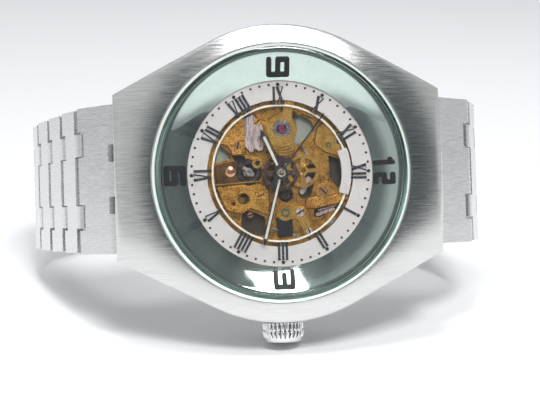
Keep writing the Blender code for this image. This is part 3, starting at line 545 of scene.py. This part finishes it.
def roman(hour, inner=9.3, outer=11.65):
    """A Roman numeral of raised bars whose top points outward."""
    text = ROMAN[hour]
    total = sum(LETTER_WIDTH[c] for c in text)
    place, shapes = -total / 2, []
    tall = outer - inner
    for letter in text:
        width = LETTER_WIDTH[letter]
        mid = place + width / 2
        if letter == "I":
            shapes.append(bar((mid, 0), (mid, tall), 0.33))
        elif letter == "V":
            shapes.append(bar((mid - 0.38, tall), (mid, 0), 0.38, 0.26))
            shapes.append(bar((mid + 0.38, tall), (mid, 0), 0.17))
        else:
            shapes.append(bar((mid - 0.38, tall), (mid + 0.38, 0), 0.38))
            shapes.append(bar((mid + 0.38, tall), (mid - 0.38, 0), 0.17))
        for v in (0, tall):
            ends = (mid - 0.22, mid + 0.22) if letter == "I" else (mid - 0.5, mid + 0.5)
            if letter != "V" or v:
                shapes.append(bar((ends[0], v), (ends[1], v), 0.07))
        place += width
    turn = math.radians(-30 * hour)
    c, s = math.cos(turn), math.sin(turn)
    meshes = []
    for k, shape in enumerate(shapes):
        points = [(c * (inner + v) + s * u, s * (inner + v) - c * u) for u, v in shape]
        meshes.append(prism("stroke", points, RING_TOP - 0.05, RING_TOP + 0.10 + 0.004 * k, 0.02))
    return joined(f"roman_{hour}", meshes)


def make_dial():
    """The white ring with its numerals and dots, the thin chapter ring, its struts, and a blank plaque."""
    ring = turned("ring", [
        (RING_OUT, RING_FOOT), (RING_OUT, RING_EDGE), (RING_OUT - 0.03, RING_TOP),
        (RING_IN + 0.03, RING_TOP), (RING_IN, RING_EDGE), (RING_IN, RING_FOOT),
    ], 144)
    finish_mesh("dial_white_ring", ring, "case", WHITE, ("dial_ring",))
    chapter = turned("chapter", [
        (CHAPTER_OUT, RING_FOOT), (CHAPTER_OUT, CHAPTER_EDGE), (9.26, RING_TOP),
        (9.07, RING_TOP), (CHAPTER_IN, CHAPTER_EDGE), (CHAPTER_IN, RING_FOOT),
    ], 144)
    finish_mesh("chapter_ring", chapter, "case", IVORY)
    struts = []
    for hour in range(12):
        struts.append(prism("strut", bar(polar(9.2, 30 * hour), polar(10.0, 30 * hour), 0.6), 7.66, 7.9))
    finish_mesh("dial_struts", joined("struts", struts), "case", DEEP_GOLD)
    numerals = joined("numerals", [roman(hour) for hour in ROMAN])
    finish_mesh("dial_numerals", numerals, "case", NUMERAL)
    dots = []
    for minute in range(60):
        radius = HOUR_DOT if minute % 5 == 0 else MINUTE_DOT
        profile = [(radius, RING_EDGE), (radius, 8.03), (radius * 0.6, 8.05)]
        dots.append(turned("dot", profile, 12, polar(DOT_PLACE, 6 * minute), False))
    finish_mesh("minute_dots", joined("dots", dots), "case", BLACK)

    outer = [polar(PLAQUE_OUT, a) for a in np.linspace(-PLAQUE_HALF, PLAQUE_HALF, 24)]
    inner = [polar(PLAQUE_IN, a) for a in np.linspace(PLAQUE_HALF, -PLAQUE_HALF, 24)]
    plaque = prism("plaque", outer + inner, RING_TOP, 8.16, 0.05)
    finish_mesh("dial_plaque", plaque, "case", WHITE)

    big_number("9", (0.0, 14.2), 3.1, 2.6, 0.68)
    big_number("6", (-14.15, 0.0), 2.9, 2.7, 0.68)
    big_number("12", (13.95, 0.0), 2.8, 3.8, 0.66)
    big_number("3", (0.0, -14.2), 2.9, 2.6, 0.66)


# --- hands ---
def hand(name, body, node, length, width, tail, tail_width, hub, low, angle, bore, fill=0.55, slim=False):
    """A baton hand: black with a pale middle, on a steel hub."""
    tip, half, tail_half = length - width * 1.3, width / 2, tail_width / 2
    outline = [(-tail, -tail_half), (hub * 0.4, -half * 0.8), (tip, -half), (length, 0)]
    outline += [(tip, half), (hub * 0.4, half * 0.8), (-tail, tail_half)]
    turn = Matrix.Rotation(math.radians(angle), 4, "Z")
    blade = prism("blade", outline, low, low + 0.13, 0.03)
    blade.transform(turn)
    finish_mesh(name, blade, body, HAND_BLACK, (node,))
    if not slim:
        start, stop, w = hub * 1.15, tip - 0.15, half * fill
        field = [(start, -w * 0.8), (stop, -w), (stop, w), (start, w * 0.8)]
        inlay = prism("inlay", field, low + 0.1, low + 0.16)
        inlay.transform(turn)
        finish_mesh(f"{name}_inlay", inlay, body, HAND_FILL)
    painted_shadow, rim, top = low - 0.02, low + 0.12, low + 0.2
    boss = turned("boss", [(hub, painted_shadow), (hub, rim), (hub - 0.08, top), (bore, top), (bore, painted_shadow)], 40)
    finish_mesh(f"{name}_hub", boss, body, DARK_STEEL if not slim else BRIGHT)


def make_hands():
    """The three hands: length, width, tail, tail width, hub, height, angle and bore of each, and a cap."""
    hand("hour_baton", "hour_hand", "hour_hand",
         6.5, 0.74, 1.7, 0.6, 1.0, HOUR_Z, HOUR_ANGLE, 0.94)
    hand("minute_baton", "minute_hand", "minute_hand",
         10.0, 0.62, 2.0, 0.55, 0.8, MINUTE_Z, MINUTE_ANGLE, 0.65)
    hand("second_needle", "fourth_wheel", "second_hand",
         10.0, 0.22, 2.5, 0.85, 0.5, SECOND_Z, SECOND_ANGLE, 0.17, slim=True)
    cap = turned("cap", [(0.3, 9.1), (0.3, 9.24), (0.22, 9.3), (0.02, 9.31)], 32, closed=False)
    finish_mesh("second_cap", cap, "fourth_wheel", BROWN)


# --- movement: outlines and places in the watch's axes, as (x, y) or (x, y, radius) ---
def polygon(x, y, points):
    """Distance to a polygon's edge, negative inside."""
    inside = np.zeros(np.shape(x), bool)
    nearest = np.full(np.shape(x), 99.0)
    for a, b in zip(points, points[1:] + points[:1]):
        nearest = np.minimum(nearest, capsule(x, y, a, b, 0.0))
        (ax, ay), (bx, by) = a, b
        if ay != by:
            inside ^= ((ay > y) != (by > y)) & (x < (bx - ax) * (y - ay) / (by - ay) + ax)
    return np.where(inside, -nearest, nearest)


LEFT_SHOULDER = [(-4.75, 7.6), (-4.75, 2.9), (-6.8, 2.8), (-8.3, 3.9), (-7.2, 6.1), (-5.9, 7.5)]
ROSE_PLATE = [
    (-4.6, 7.5), (-3.5, 8.0), (-2.1, 6.3), (-2.2, 5.0), (-1.95, 4.3), (-2.3, 3.2), (-3.9, 3.0), (-4.6, 3.9)]
BROWN_SECTOR = [(-8.6, 1.05), (-6.0, 1.7), (-5.5, -0.3), (-4.8, -1.6), (-8.5, -2.1)]
LOWER_LEFT = [
    (-8.5, -1.75), (-2.6, -1.35), (-1.75, -2.2), (-1.7, -5.4), (-4.2, -4.4), (-5.4, -5.2), (-7.3, -4.7)]
PIT_LEFT = [
    (-5.3, -5.4), (-4.4, -4.9), (-3.4, -5.2), (-2.2, -5.8), (-2.2, -8.4), (-4.0, -8.2), (-5.5, -7.0)]
OPEN_UPPER = [(1.4, 7.9), (3.0, 7.9), (4.5, 7.0), (4.9, 5.7), (3.9, 4.6), (1.9, 3.7)]
OPEN_LEFT = [(-8.7, 1.6), (-6.6, 2.2), (-6.7, 3.0), (-7.9, 3.9), (-8.5, 3.3)]
DARK_BAND = [(-6.4, 2.6), (-4.8, 2.6), (-4.5, 1.5), (-5.5, 0.7)]
PIT_RIGHT = [(6.7, 2.3), (8.3, 1.7), (8.5, -1.5), (7.9, -2.2), (6.8, -0.8)]
PIT_LOW = [(4.5, -5.0), (8.0, -4.1), (7.4, -5.3), (5.9, -6.1), (4.5, -6.1)]
COCK = [(-1.3, 5.2), (1.8, 4.6), (2.0, 3.2), (1.4, 2.3), (0.5, 1.9), (-0.5, 3.0)]
RIGHT_ARM = [
    (5.0, -3.3), (6.6, -3.4), (8.6, -2.9), (9.2, -3.6), (8.3, -4.0), (4.6, -4.7), (3.4, -4.6), (3.6, -3.6)]
BLOCK = [(-0.5, -6.1), (1.3, -6.0), (1.35, -8.3), (-0.4, -8.4)]
LEDGE = [(6.4, 2.9), (8.3, 2.3), (8.6, 3.0), (7.6, 5.0), (6.2, 6.6), (5.4, 6.0), (5.0, 4.0)]
LOWER_BORE, SMALL_BORE = (-5.0, -3.3, 0.75), (-6.4, -3.9, 0.3)
LEFT_GEAR, UPPER_JEWEL, LOWER_COCK = (-4.2, 0.3), (0.4, 6.0), (0.55, -5.3)
PINION, RIGHT_BOSS = (0.7, -2.9), (5.75, -2.5)
SLOT_ENDS = (4.35, 0.3), (3.3, -2.7)
PLATE_R, PLATE_LOW, PLATE_TOP = 12.75, 6.3, 7.22
FLOOR_LOW, FLOOR_TOP = 6.32, 6.44
LAYER_Z, LAYER_TOP = 7.18, 7.52
COCK_Z, COCK_TOP = 7.24, 7.62
INNER_REACH = 10.5  # what lies inside the white ring needs no wider grid


def make_plates():
    """The base plate with its openings, the plates laid on it, and the two cocks."""
    def base(x, y):
        rounds = [(1.15, 8.5, 0.75), (-0.2, 6.3, 0.8), (0, 0, 1.75)]
        rounds += [LOWER_BORE, (*LEFT_GEAR, 1.75), SMALL_BORE]
        holes = [disc(x, y, *hole) for hole in rounds]
        pits = (PIT_LEFT, PIT_RIGHT, PIT_LOW, OPEN_UPPER, OPEN_LEFT, DARK_BAND)
        holes += [polygon(x, y, pit) for pit in pits]
        holes += [capsule(x, y, *SLOT_ENDS, 0.85), disc(x, y, *PINION, 0.95)]
        return cut(disc(x, y, 0, 0, PLATE_R), holes)

    lowest = plate("base", base, PLATE_LOW, PLATE_TOP, 0.06, step=0.11)
    finish_mesh("plate_base", lowest, "case", ROUGH_GOLD, ("main_plate",))

    # a plate's bevelled top on a slightly wider foot of dark brown gilt: the rim that shows round the top
    # is a painted shadow line
    def layer(name, outline, low, high, material, soft=0.35, holes=()):
        def field(x, y):
            return cut(polygon(x, y, outline) - soft, [disc(x, y, cx, cy, r) for cx, cy, r in holes])

        top = plate(name, field, low + 0.1, high, 0.09, INNER_REACH, 0.09)
        finish_mesh(name, top, "case", material)
        # painted shadow: the foot's dark brown rim round the plate's edge
        painted_shadow = plate(name, lambda x, y: field(x, y) - 0.12, low, low + 0.14, 0.03, INNER_REACH, 0.11)
        finish_mesh(f"{name}_foot", painted_shadow, "case", BROWN)

    layer("plate_left_shoulder", LEFT_SHOULDER, LAYER_Z, 7.5, GOLD, 0.12, [(-8.0, 2.6, 1.6)])
    layer("plate_rose", ROSE_PLATE, 7.2, 7.58, ROSE_STEEL, 0.08, [(-3.2, 3.05, 0.3)])
    layer("plate_brown_sector", BROWN_SECTOR, LAYER_Z, 7.36, BROWN, 0.1, [(*LEFT_GEAR, 1.8)])
    bores = [LOWER_BORE, SMALL_BORE, (*LEFT_GEAR, 1.85)]
    layer("plate_lower_left", LOWER_LEFT, LAYER_Z, LAYER_TOP, GOLD, 0.1, bores)
    layer("plate_right_arm", RIGHT_ARM, LAYER_Z, LAYER_TOP, GOLD, 0.12)
    layer("plate_ledge", LEDGE, LAYER_Z, 7.5, PALE_GOLD, 0.12)
    layer("dark_block", BLOCK, 7.2, 7.56, BLACK, 0.12)

    def cock(x, y):
        ring_part = cut(disc(x, y, *UPPER_JEWEL, 2.05), [disc(x, y, *UPPER_JEWEL, 1.2)])
        arm = capsule(x, y, (1.2, 8.0), (1.5, 9.4), 0.75)
        return fuse([ring_part, polygon(x, y, COCK) - 0.1, arm], 0.4)

    upper = plate("cock", cock, COCK_Z, COCK_TOP, 0.09, INNER_REACH, 0.08)
    finish_mesh("cock_upper", upper, "case", PALE_GOLD)
    for k in range(5):
        inner, outer = 2.45 + 0.4 * k, 2.53 + 0.4 * k
        arc = np.linspace(-112, -62, 10)
        line = [polar(outer, a, UPPER_JEWEL) for a in arc]
        line += [polar(inner, a, UPPER_JEWEL) for a in arc[::-1]]
        engraved = prism("line", line, COCK_TOP - 0.02, COCK_TOP + 0.02, 0.01)
        finish_mesh(f"cock_line_{k}", engraved, "case", BROWN)

    def lower_cock(x, y):
        ring_part = disc(x, y, *LOWER_COCK, 1.15)
        elbow = (2.6, -5.3)
        arm = capsule(x, y, LOWER_COCK, elbow, 0.75)
        neck = capsule(x, y, elbow, (3.6, -7.9), 0.6)
        return fuse([ring_part, arm, neck], 0.5)

    lower = plate("cock_low", lower_cock, COCK_Z, COCK_TOP, 0.09, INNER_REACH, 0.08)
    finish_mesh("cock_lower", lower, "case", PALE_GOLD)


def jewel(name, centre, setting, stone, high, material=PALE_GOLD, heart=RUBY):
    """A jewel with an oil cup, pressed into a raised setting."""
    hole, painted_shadow = stone + 0.03, high - 0.3
    seat = turned("seat", [
        (setting, painted_shadow), (setting, high - 0.04), (setting - 0.05, high), (hole, high), (hole, painted_shadow),
    ], 36, centre)
    finish_mesh(f"{name}_seat", seat, "case", material)
    drop = turned("stone", [
        (stone, high - 0.25), (stone, high - 0.08), (stone * 0.8, high - 0.03),
        (stone * 0.35, high - 0.06), (stone * 0.2, high - 0.14), (0.02, high - 0.15),
    ], 28, centre, False)
    finish_mesh(f"{name}_stone", drop, "case", heart)


def screw(name, centre, radius, high, turn, material):
    """A slotted screw head with a rounded edge, in a sink; its slot is a thin near-black strip, painted
    shade in the groove.
    """
    groove = 0.13 * radius + 0.03
    profile = [(radius, high - 0.3), (radius, high - 0.07), (radius - 0.07, high), (0.02, high)]
    head = turned("head", profile, 28, centre, False)
    finish_mesh(f"{name}_head", head, "case", material)
    a, b = polar(radius * 0.98, turn, centre), polar(radius * 0.98, turn + 180, centre)
    line = prism("slot", bar(a, b, groove * 2), high - 0.02, high + 0.012)
    # the slot's strip is painted shade
    finish_mesh(f"{name}_slot", line, "case", SHADE_BLACK)


def ring_piece(name, centre, outer, inner, low, high, material):
    """A plain ring with its two upper edges broken."""
    edge = 0.05
    rows = [(outer, low), (outer, high - edge), (outer - edge, high)]
    rows += [(inner + edge, high), (inner, high - edge), (inner, low)]
    finish_mesh(name, turned(name, rows, 48, centre), "case", material)


def toothed(name, centre, count, radius, inner, low, high, material):
    """A toothed ring, with the teeth as one outline and the hole as another."""
    hole = [polar(inner, 360 * i / 40, centre) for i in range(40)]
    mesh = filled(name, [teeth(count, radius, 0.22, centre), hole], low, high, 0.03)
    finish_mesh(name, mesh, "case", material)


def make_jewels_and_screws():
    """The settings, jewels, bushes, bosses and screws on the dial side."""
    ring_piece("upper_setting", UPPER_JEWEL, 1.22, 0.66, 7.2, 7.56, JEWEL_STEEL)
    jewel("upper_jewel", UPPER_JEWEL, 0.72, 0.44, 7.6, DARK_STEEL)
    ring_piece("lower_bush", LOWER_COCK, 0.62, 0.3, 7.4, 7.68, GREEN)
    jewel("right_bush", (6.7, 3.7), 0.72, 0.34, 7.62, heart=GREEN)
    # the left bush's hole is a near-black disc: painted shade
    jewel("left_bush", (-3.0, 1.5), 0.72, 0.32, 7.4, heart=SHADE_BLACK)
    ring_piece("left_bore", LOWER_BORE[:2], 0.95, LOWER_BORE[2], 7.3, 7.58, PALE_GOLD)
    ring_piece("right_boss", RIGHT_BOSS, 1.0, 0.58, 7.2, 7.62, PALE_GOLD)
    screw("screw_rose", (-2.9, 7.0), 0.45, 7.66, 35, GOLD)
    screw("screw_shoulder", (-5.6, 3.9), 0.5, 7.6, 80, COPPER)
    profile = [(0.72, 7.2), (0.7, 7.4), (0.5, 7.52), (0.25, 7.56), (0.02, 7.57)]
    boss = turned("boss", profile, 32, (-6.7, 0.4), False)
    finish_mesh("boss_sector", boss, "case", COPPER)
    screw("screw_lower", (-2.75, -2.9), 0.48, 7.6, 20, GOLD)
    screw("screw_cock", (2.55, -5.3), 0.58, 7.72, 30, ROSE_STEEL)
    screw("screw_boss", RIGHT_BOSS, 0.55, 7.66, 130, COPPER)
    screw("screw_top", (2.1, 7.9), 0.35, 7.5, 100, DARK_STEEL)
    screw("screw_pit", (-4.2, -5.5), 0.42, 7.3, 15, COPPER)
    screw("screw_right", (8.0, 4.2), 0.42, 7.6, 75, GEAR_STEEL)
    screw("screw_low_right", (7.0, -7.0), 0.5, 7.4, 45, GEAR_STEEL)
    screw("screw_low", (3.7, -7.9), 0.45, 7.7, 110, ROSE_STEEL)


def make_depths():
    """The near-black floors down the plate's openings, painted shade where the openings fall dark, and the
    pale surfaces seen down others, with the pieces that lie on them.
    """
    def floor(name, field, material):
        mesh = plate(name, field, FLOOR_LOW, FLOOR_TOP, 0.02, INNER_REACH, 0.12)
        finish_mesh(name, mesh, "case", material)

    # near-black floors under the pits, the left gear, the slot, the pinion and the dark band: painted shade
    for name, pit in (("left", PIT_LEFT), ("right", PIT_RIGHT), ("low", PIT_LOW)):
        floor(f"depth_{name}", lambda x, y, pit=pit: polygon(x, y, pit) - 0.1, DEPTH)
    floor("shade_floor_gear", lambda x, y: cut(disc(x, y, *LEFT_GEAR, 1.8), [disc(x, y, *LEFT_GEAR, 0.7)]), DEPTH)
    floor("depth_slot", lambda x, y: capsule(x, y, *SLOT_ENDS, 0.9), DEPTH)
    floor("shade_floor_pinion", lambda x, y: cut(disc(x, y, *PINION, 1.0), [disc(x, y, *PINION, 0.5)]), DEPTH)
    floor("shade_floor_band", lambda x, y: polygon(x, y, DARK_BAND) - 0.1, DEPTH)
    floor("depth_shoulder", lambda x, y: polygon(x, y, OPEN_LEFT) - 0.1, PALE_DEPTH)
    floor("depth_upper", lambda x, y: polygon(x, y, OPEN_UPPER) - 0.1, PALE_DEPTH)
    rose = [("slot", (3.9, -0.9), (3.0, -2.5), 0.42), ("left_gear", (-4.9, 0.9), (-3.7, 0.0), 0.32)]
    rose += [("low_a", (5.0, -5.7), (7.2, -5.0), 0.24), ("low_b", (5.2, -5.1), (7.6, -4.5), 0.12)]
    for name, a, b, width in rose:
        high = 6.9 if name == "slot" else 6.75

        def field(x, y, a=a, b=b, width=width):
            return capsule(x, y, a, b, width)

        shape = plate(name, field, 6.4, high, 0.05, INNER_REACH, 0.08)
        finish_mesh(f"rose_{name}", shape, "case", ROSE_STEEL)


def make_gear_dressing():
    """The small wheel at the left, the pinion below the hands, the springs and levers, and pale gold strips
    that are painted highlights on plate edges.
    """
    toothed("left_gear", LEFT_GEAR, 26, 1.72, 1.1, 6.9, 7.16, DARK_STEEL)
    ring_piece("left_gear_hub", LEFT_GEAR, 0.55, 0.2, 6.8, 7.25, GEAR_STEEL)
    for k in range(3):
        root, tip = (polar(r, 40 + 120 * k, LEFT_GEAR) for r in (0.5, 1.15))
        spoke = prism("spoke", bar(root, tip, 0.26), 6.92, 7.12)
        finish_mesh(f"left_gear_spoke_{k}", spoke, "case", DARK_STEEL)
    toothed("low_pinion", PINION, 12, 0.8, 0.28, 6.9, 7.3, DARK_STEEL)
    centre, start, stop = (-1.6, -1.0), 20, 62
    strip = [polar(6.6, a, centre) for a in np.linspace(start, stop, 14)]
    strip += [polar(6.35, a, centre) for a in np.linspace(stop, start, 14)]
    spring = prism("spring", strip, 7.24, 7.42, 0.03)
    finish_mesh("curved_spring", spring, "case", GEAR_STEEL)
    lever = bar((-1.3, -7.35), (2.3, -8.55), 0.22)
    finish_mesh("steel_lever", prism("lever", lever, 7.3, 7.5, 0.03), "case", GEAR_STEEL)
    # pale gold strips along plate edges: painted highlights where the chamfers would catch light
    edges = [((-9.2, -1.35), (-2.6, -0.95), 0.16), ((4.6, -6.4), (9.1, -4.5), 0.14)]
    edges += [((3.2, 8.2), (5.4, 7.2), 0.2)]
    for k, edge in enumerate(edges):
        bright = prism("edge", bar(*edge), 7.3, 7.56, 0.03)
        finish_mesh(f"painted_highlight_edge_{k}", bright, "case", PALE_GOLD)


# --- parts taken over from the CAD, with their edges rounded ---
def copy_of(node, material, bevel):
    """The CAD node's own shape in the watch's axes, with its facets merged and its edges rounded."""
    mesh = NODES[node].data.copy()
    mesh.transform(UNWATCH)
    bm = bmesh.new()
    bm.from_mesh(mesh)
    bmesh.ops.remove_doubles(bm, verts=bm.verts, dist=1e-3)
    bmesh.ops.dissolve_limit(bm, angle_limit=math.radians(1.0), verts=bm.verts, edges=bm.edges)
    if bevel:
        paired = [e for e in bm.edges if len(e.link_faces) == 2]
        sharp = [e for e in paired if e.calc_face_angle(0) > math.radians(28)]
        bmesh.ops.bevel(bm, geom=sharp, offset=bevel, segments=2, affect="EDGES", clamp_overlap=True)
    bm.to_mesh(mesh)
    bm.free()
    body = next(name for name, nodes in BODIES.items() if node in nodes)
    finish_mesh(f"{node}_shown", mesh, body, material, (node,), 30)


BAND = [f"end_link_{side}" for side in (12, 6)]
BAND += [f"link_{side}_{i}" for side in (12, 6) for i in range(1, 8)]
# nodes, material, slot, width of the rounded edges
LOOKS = [
    (BAND, LINK_STEEL, "brushed_steel", 0.14),
    (("clasp_cover", "clasp_inner_blade", "clasp_middle_blade"), LINK_STEEL, "brushed_steel", 0.1),
    (("push_button_3", "push_button_9"), BRIGHT, "polished_steel", 0.08),
    (("case_back",), STEEL, "brushed_steel", 0.08),
    (("case_back_window",), GLASS, "sapphire", 0.0),
    (("movement_holder",), PLASTIC, "white_plastic", 0.05),
    (("barrel_bridge", "train_bridge", "balance_cock", "pallet_bridge"), GOLD, "gilt_brass", 0.05),
    (("centre_wheel", "third_wheel", "fourth_wheel", "minute_wheel", "balance_wheel"),
     PALE_GOLD, "gilt_brass", 0.0),
    (("rotor",), PALE_GOLD, "gilt_brass", 0.06),
    (("barrel", "ratchet_wheel", "crown_wheel", "click", "escape_wheel", "pallet_fork"),
     GEAR_STEEL, "movement_steel", 0.0),
    (("cannon_pinion", "stem", "winding_pinion", "sliding_pinion", "setting_lever"),
     GEAR_STEEL, "movement_steel", 0.0),
    (("mainspring", "hairspring", "crown_tube"), GEAR_STEEL, "movement_steel", 0.0),
    (("hour_wheel",), HUB_BROWN, "movement_steel", 0.0),
    (("crown_gasket",), RUBBER, "black_rubber", 0.0),
]


def make_copies():
    """Every CAD part that keeps its own shape."""
    for nodes, material, slot, bevel in LOOKS:
        for node in nodes:
            copy_of(node, material, bevel)


def make_crown():
    """A fluted crown in two rows with a groove between and a plain polished rim at its end."""
    # place along the stem, radius, and whether the flutes are cut there
    sections = [
        (-20.15, 2.55, 0.0), (-20.2, 2.72, 0.0), (-20.45, 2.82, 1.0), (-21.05, 2.9, 1.0),
        (-21.2, 2.76, 0.0), (-21.3, 2.76, 0.0), (-21.45, 2.9, 1.0), (-22.15, 2.86, 1.0),
        (-22.3, 2.72, 0.0), (-22.42, 2.68, 0.0), (-22.6, 2.66, 0.0), (-22.78, 2.5, 0.0), (-22.85, 2.3, 0.0),
    ]
    bore = ((-20.15, 1.75), (-21.4, 1.75), (-21.4, 0.62))
    flutes, steps, flute_depth = 30, 6, 0.19
    count = flutes * steps
    rows = []
    for y, radius, cut_in in sections:
        row = []
        for i in range(count):
            wave = 0.5 - 0.5 * math.cos(2 * math.pi * (i % steps) / steps)
            x, z = polar(radius - flute_depth * cut_in * wave, 360 * i / count)
            row.append((x, y, STEM_Z + z))
        rows.append(row)
    inside = [[(*polar(r, 360 * i / count), y) for i in range(count)] for y, r in reversed(bore)]
    rows = [[(x, y, STEM_Z + z) for x, z, y in row] for row in inside] + rows
    crown = rings("crown", rows, False)
    finish_mesh("crown_fluted", crown, "crown", BRIGHT, ("crown",), 40)


# --- stage, light, camera ---
# direction of the room's dark side, and the room's tones from the far side to it
DARK_SIDE = (0.22, -0.905, 0.36)
ROOM = [
    (0.0, (0.60, 0.62, 0.64, 1)), (0.45, (0.66, 0.67, 0.69, 1)), (0.67, (0.56, 0.57, 0.58, 1)),
    (0.77, (0.12, 0.14, 0.15, 1)), (0.93, (0.04, 0.05, 0.06, 1)), (0.99, (0.25, 0.25, 0.25, 1)),
]
LENS, SENSOR = 87.2, 36.0
CAMERA_AZIMUTH, CAMERA_ELEVATION, CAMERA_DISTANCE = -6.0, 16.5, 0.173
CAMERA_TARGET = (-1.8, -3.6)


def stage_material(name, colour):
    """A matt surface with a hint of grain."""
    n = Nodes(name)
    grain = n.add("TexNoise", Scale=40.0, Detail=2.0)
    tone = n.blend(n.span(grain.outputs["Fac"], 0, 1), colour, tuple(0.985 * c for c in colour))
    return n.surface(Base_Color=tone, Roughness=0.75)


def make_stage():
    """A wide, pale, flat table."""
    reach = 4.0
    mesh = bpy.data.meshes.new("table")
    corners = [(-reach, -reach, 0), (reach, -reach, 0), (reach, reach, 0), (-reach, reach, 0)]
    mesh.from_pydata(corners, [], [(0, 1, 2, 3)])
    mesh.materials.append(stage_material("table_pale", (0.82, 0.82, 0.83)))
    table = bpy.data.objects.new("table", mesh)
    bpy.context.scene.collection.objects.link(table)


def lamp(name, place, target, size, power):
    """A rectangular lamp that faces its target; lengths in metres, power in watts."""
    light = bpy.data.lights.new(name, "AREA")
    light.shape, light.size, light.size_y = "RECTANGLE", *size
    light.energy = power
    thing = bpy.data.objects.new(name, light)
    bpy.context.scene.collection.objects.link(thing)
    thing.location = place
    thing.rotation_euler = (Vector(target) - Vector(place)).to_track_quat("-Z", "Y").to_euler()


def make_light():
    """A pale room that is dark behind the camera, and three lamps."""
    world = bpy.data.worlds.new("studio")
    bpy.context.scene.world = world
    world.use_nodes = True
    tree = world.node_tree
    tree.nodes.clear()
    out = tree.nodes.new("ShaderNodeOutputWorld")
    sky = tree.nodes.new("ShaderNodeBackground")
    where = tree.nodes.new("ShaderNodeTexCoord")
    split = tree.nodes.new("ShaderNodeVectorMath")
    split.operation = "DOT_PRODUCT"
    split.inputs[1].default_value = DARK_SIDE
    ramp = tree.nodes.new("ShaderNodeValToRGB")
    tree.links.new(where.outputs["Generated"], split.inputs[0])
    tree.links.new(split.outputs["Value"], ramp.inputs["Fac"])
    first, last = ramp.color_ramp.elements
    first.position, first.color = ROOM[0]
    last.position, last.color = ROOM[-1]
    for position, colour in ROOM[1:-1]:
        ramp.color_ramp.elements.new(position).color = colour
    sky.inputs["Strength"].default_value = 1.0
    tree.links.new(ramp.outputs["Color"], sky.inputs["Color"])
    tree.links.new(sky.outputs[0], out.inputs["Surface"])
    lamp("lamp_over", (0.075, -0.29, 0.44), (0, -0.02, 0.02), (0.14, 0.14), 2.0)
    lamp("lamp_left", (-0.35, 0.10, 0.60), (0, 0, 0.02), (0.4, 0.4), 0.7)
    lamp("lamp_movement", (-0.03, -0.10, 0.60), (0, -0.02, 0.02), (0.10, 0.10), 0.8)
    bpy.context.scene.view_settings.view_transform = "Standard"


def make_camera():
    """A camera turned a little to the left of the front and looking down."""
    camera = bpy.data.cameras.new("camera")
    camera.lens, camera.sensor_width = LENS, SENSOR
    camera.clip_start = 0.01
    thing = bpy.data.objects.new("camera", camera)
    bpy.context.scene.collection.objects.link(thing)
    bpy.context.scene.camera = thing
    target = WATCH @ Vector((*CAMERA_TARGET, GLASS_TOP))
    azimuth, elevation = math.radians(CAMERA_AZIMUTH), math.radians(CAMERA_ELEVATION)
    flat = math.cos(elevation)
    away = Vector((math.sin(azimuth) * flat, -math.cos(azimuth) * flat, math.sin(elevation)))
    thing.location = target + away * CAMERA_DISTANCE
    thing.rotation_euler = (-away).to_track_quat("-Z", "Y").to_euler()


make_case()
make_glass()
make_flange()
make_dial()
make_hands()
make_plates()
make_jewels_and_screws()
make_depths()
make_gear_dressing()
make_copies()
make_crown()
make_stage()
make_light()
make_camera()
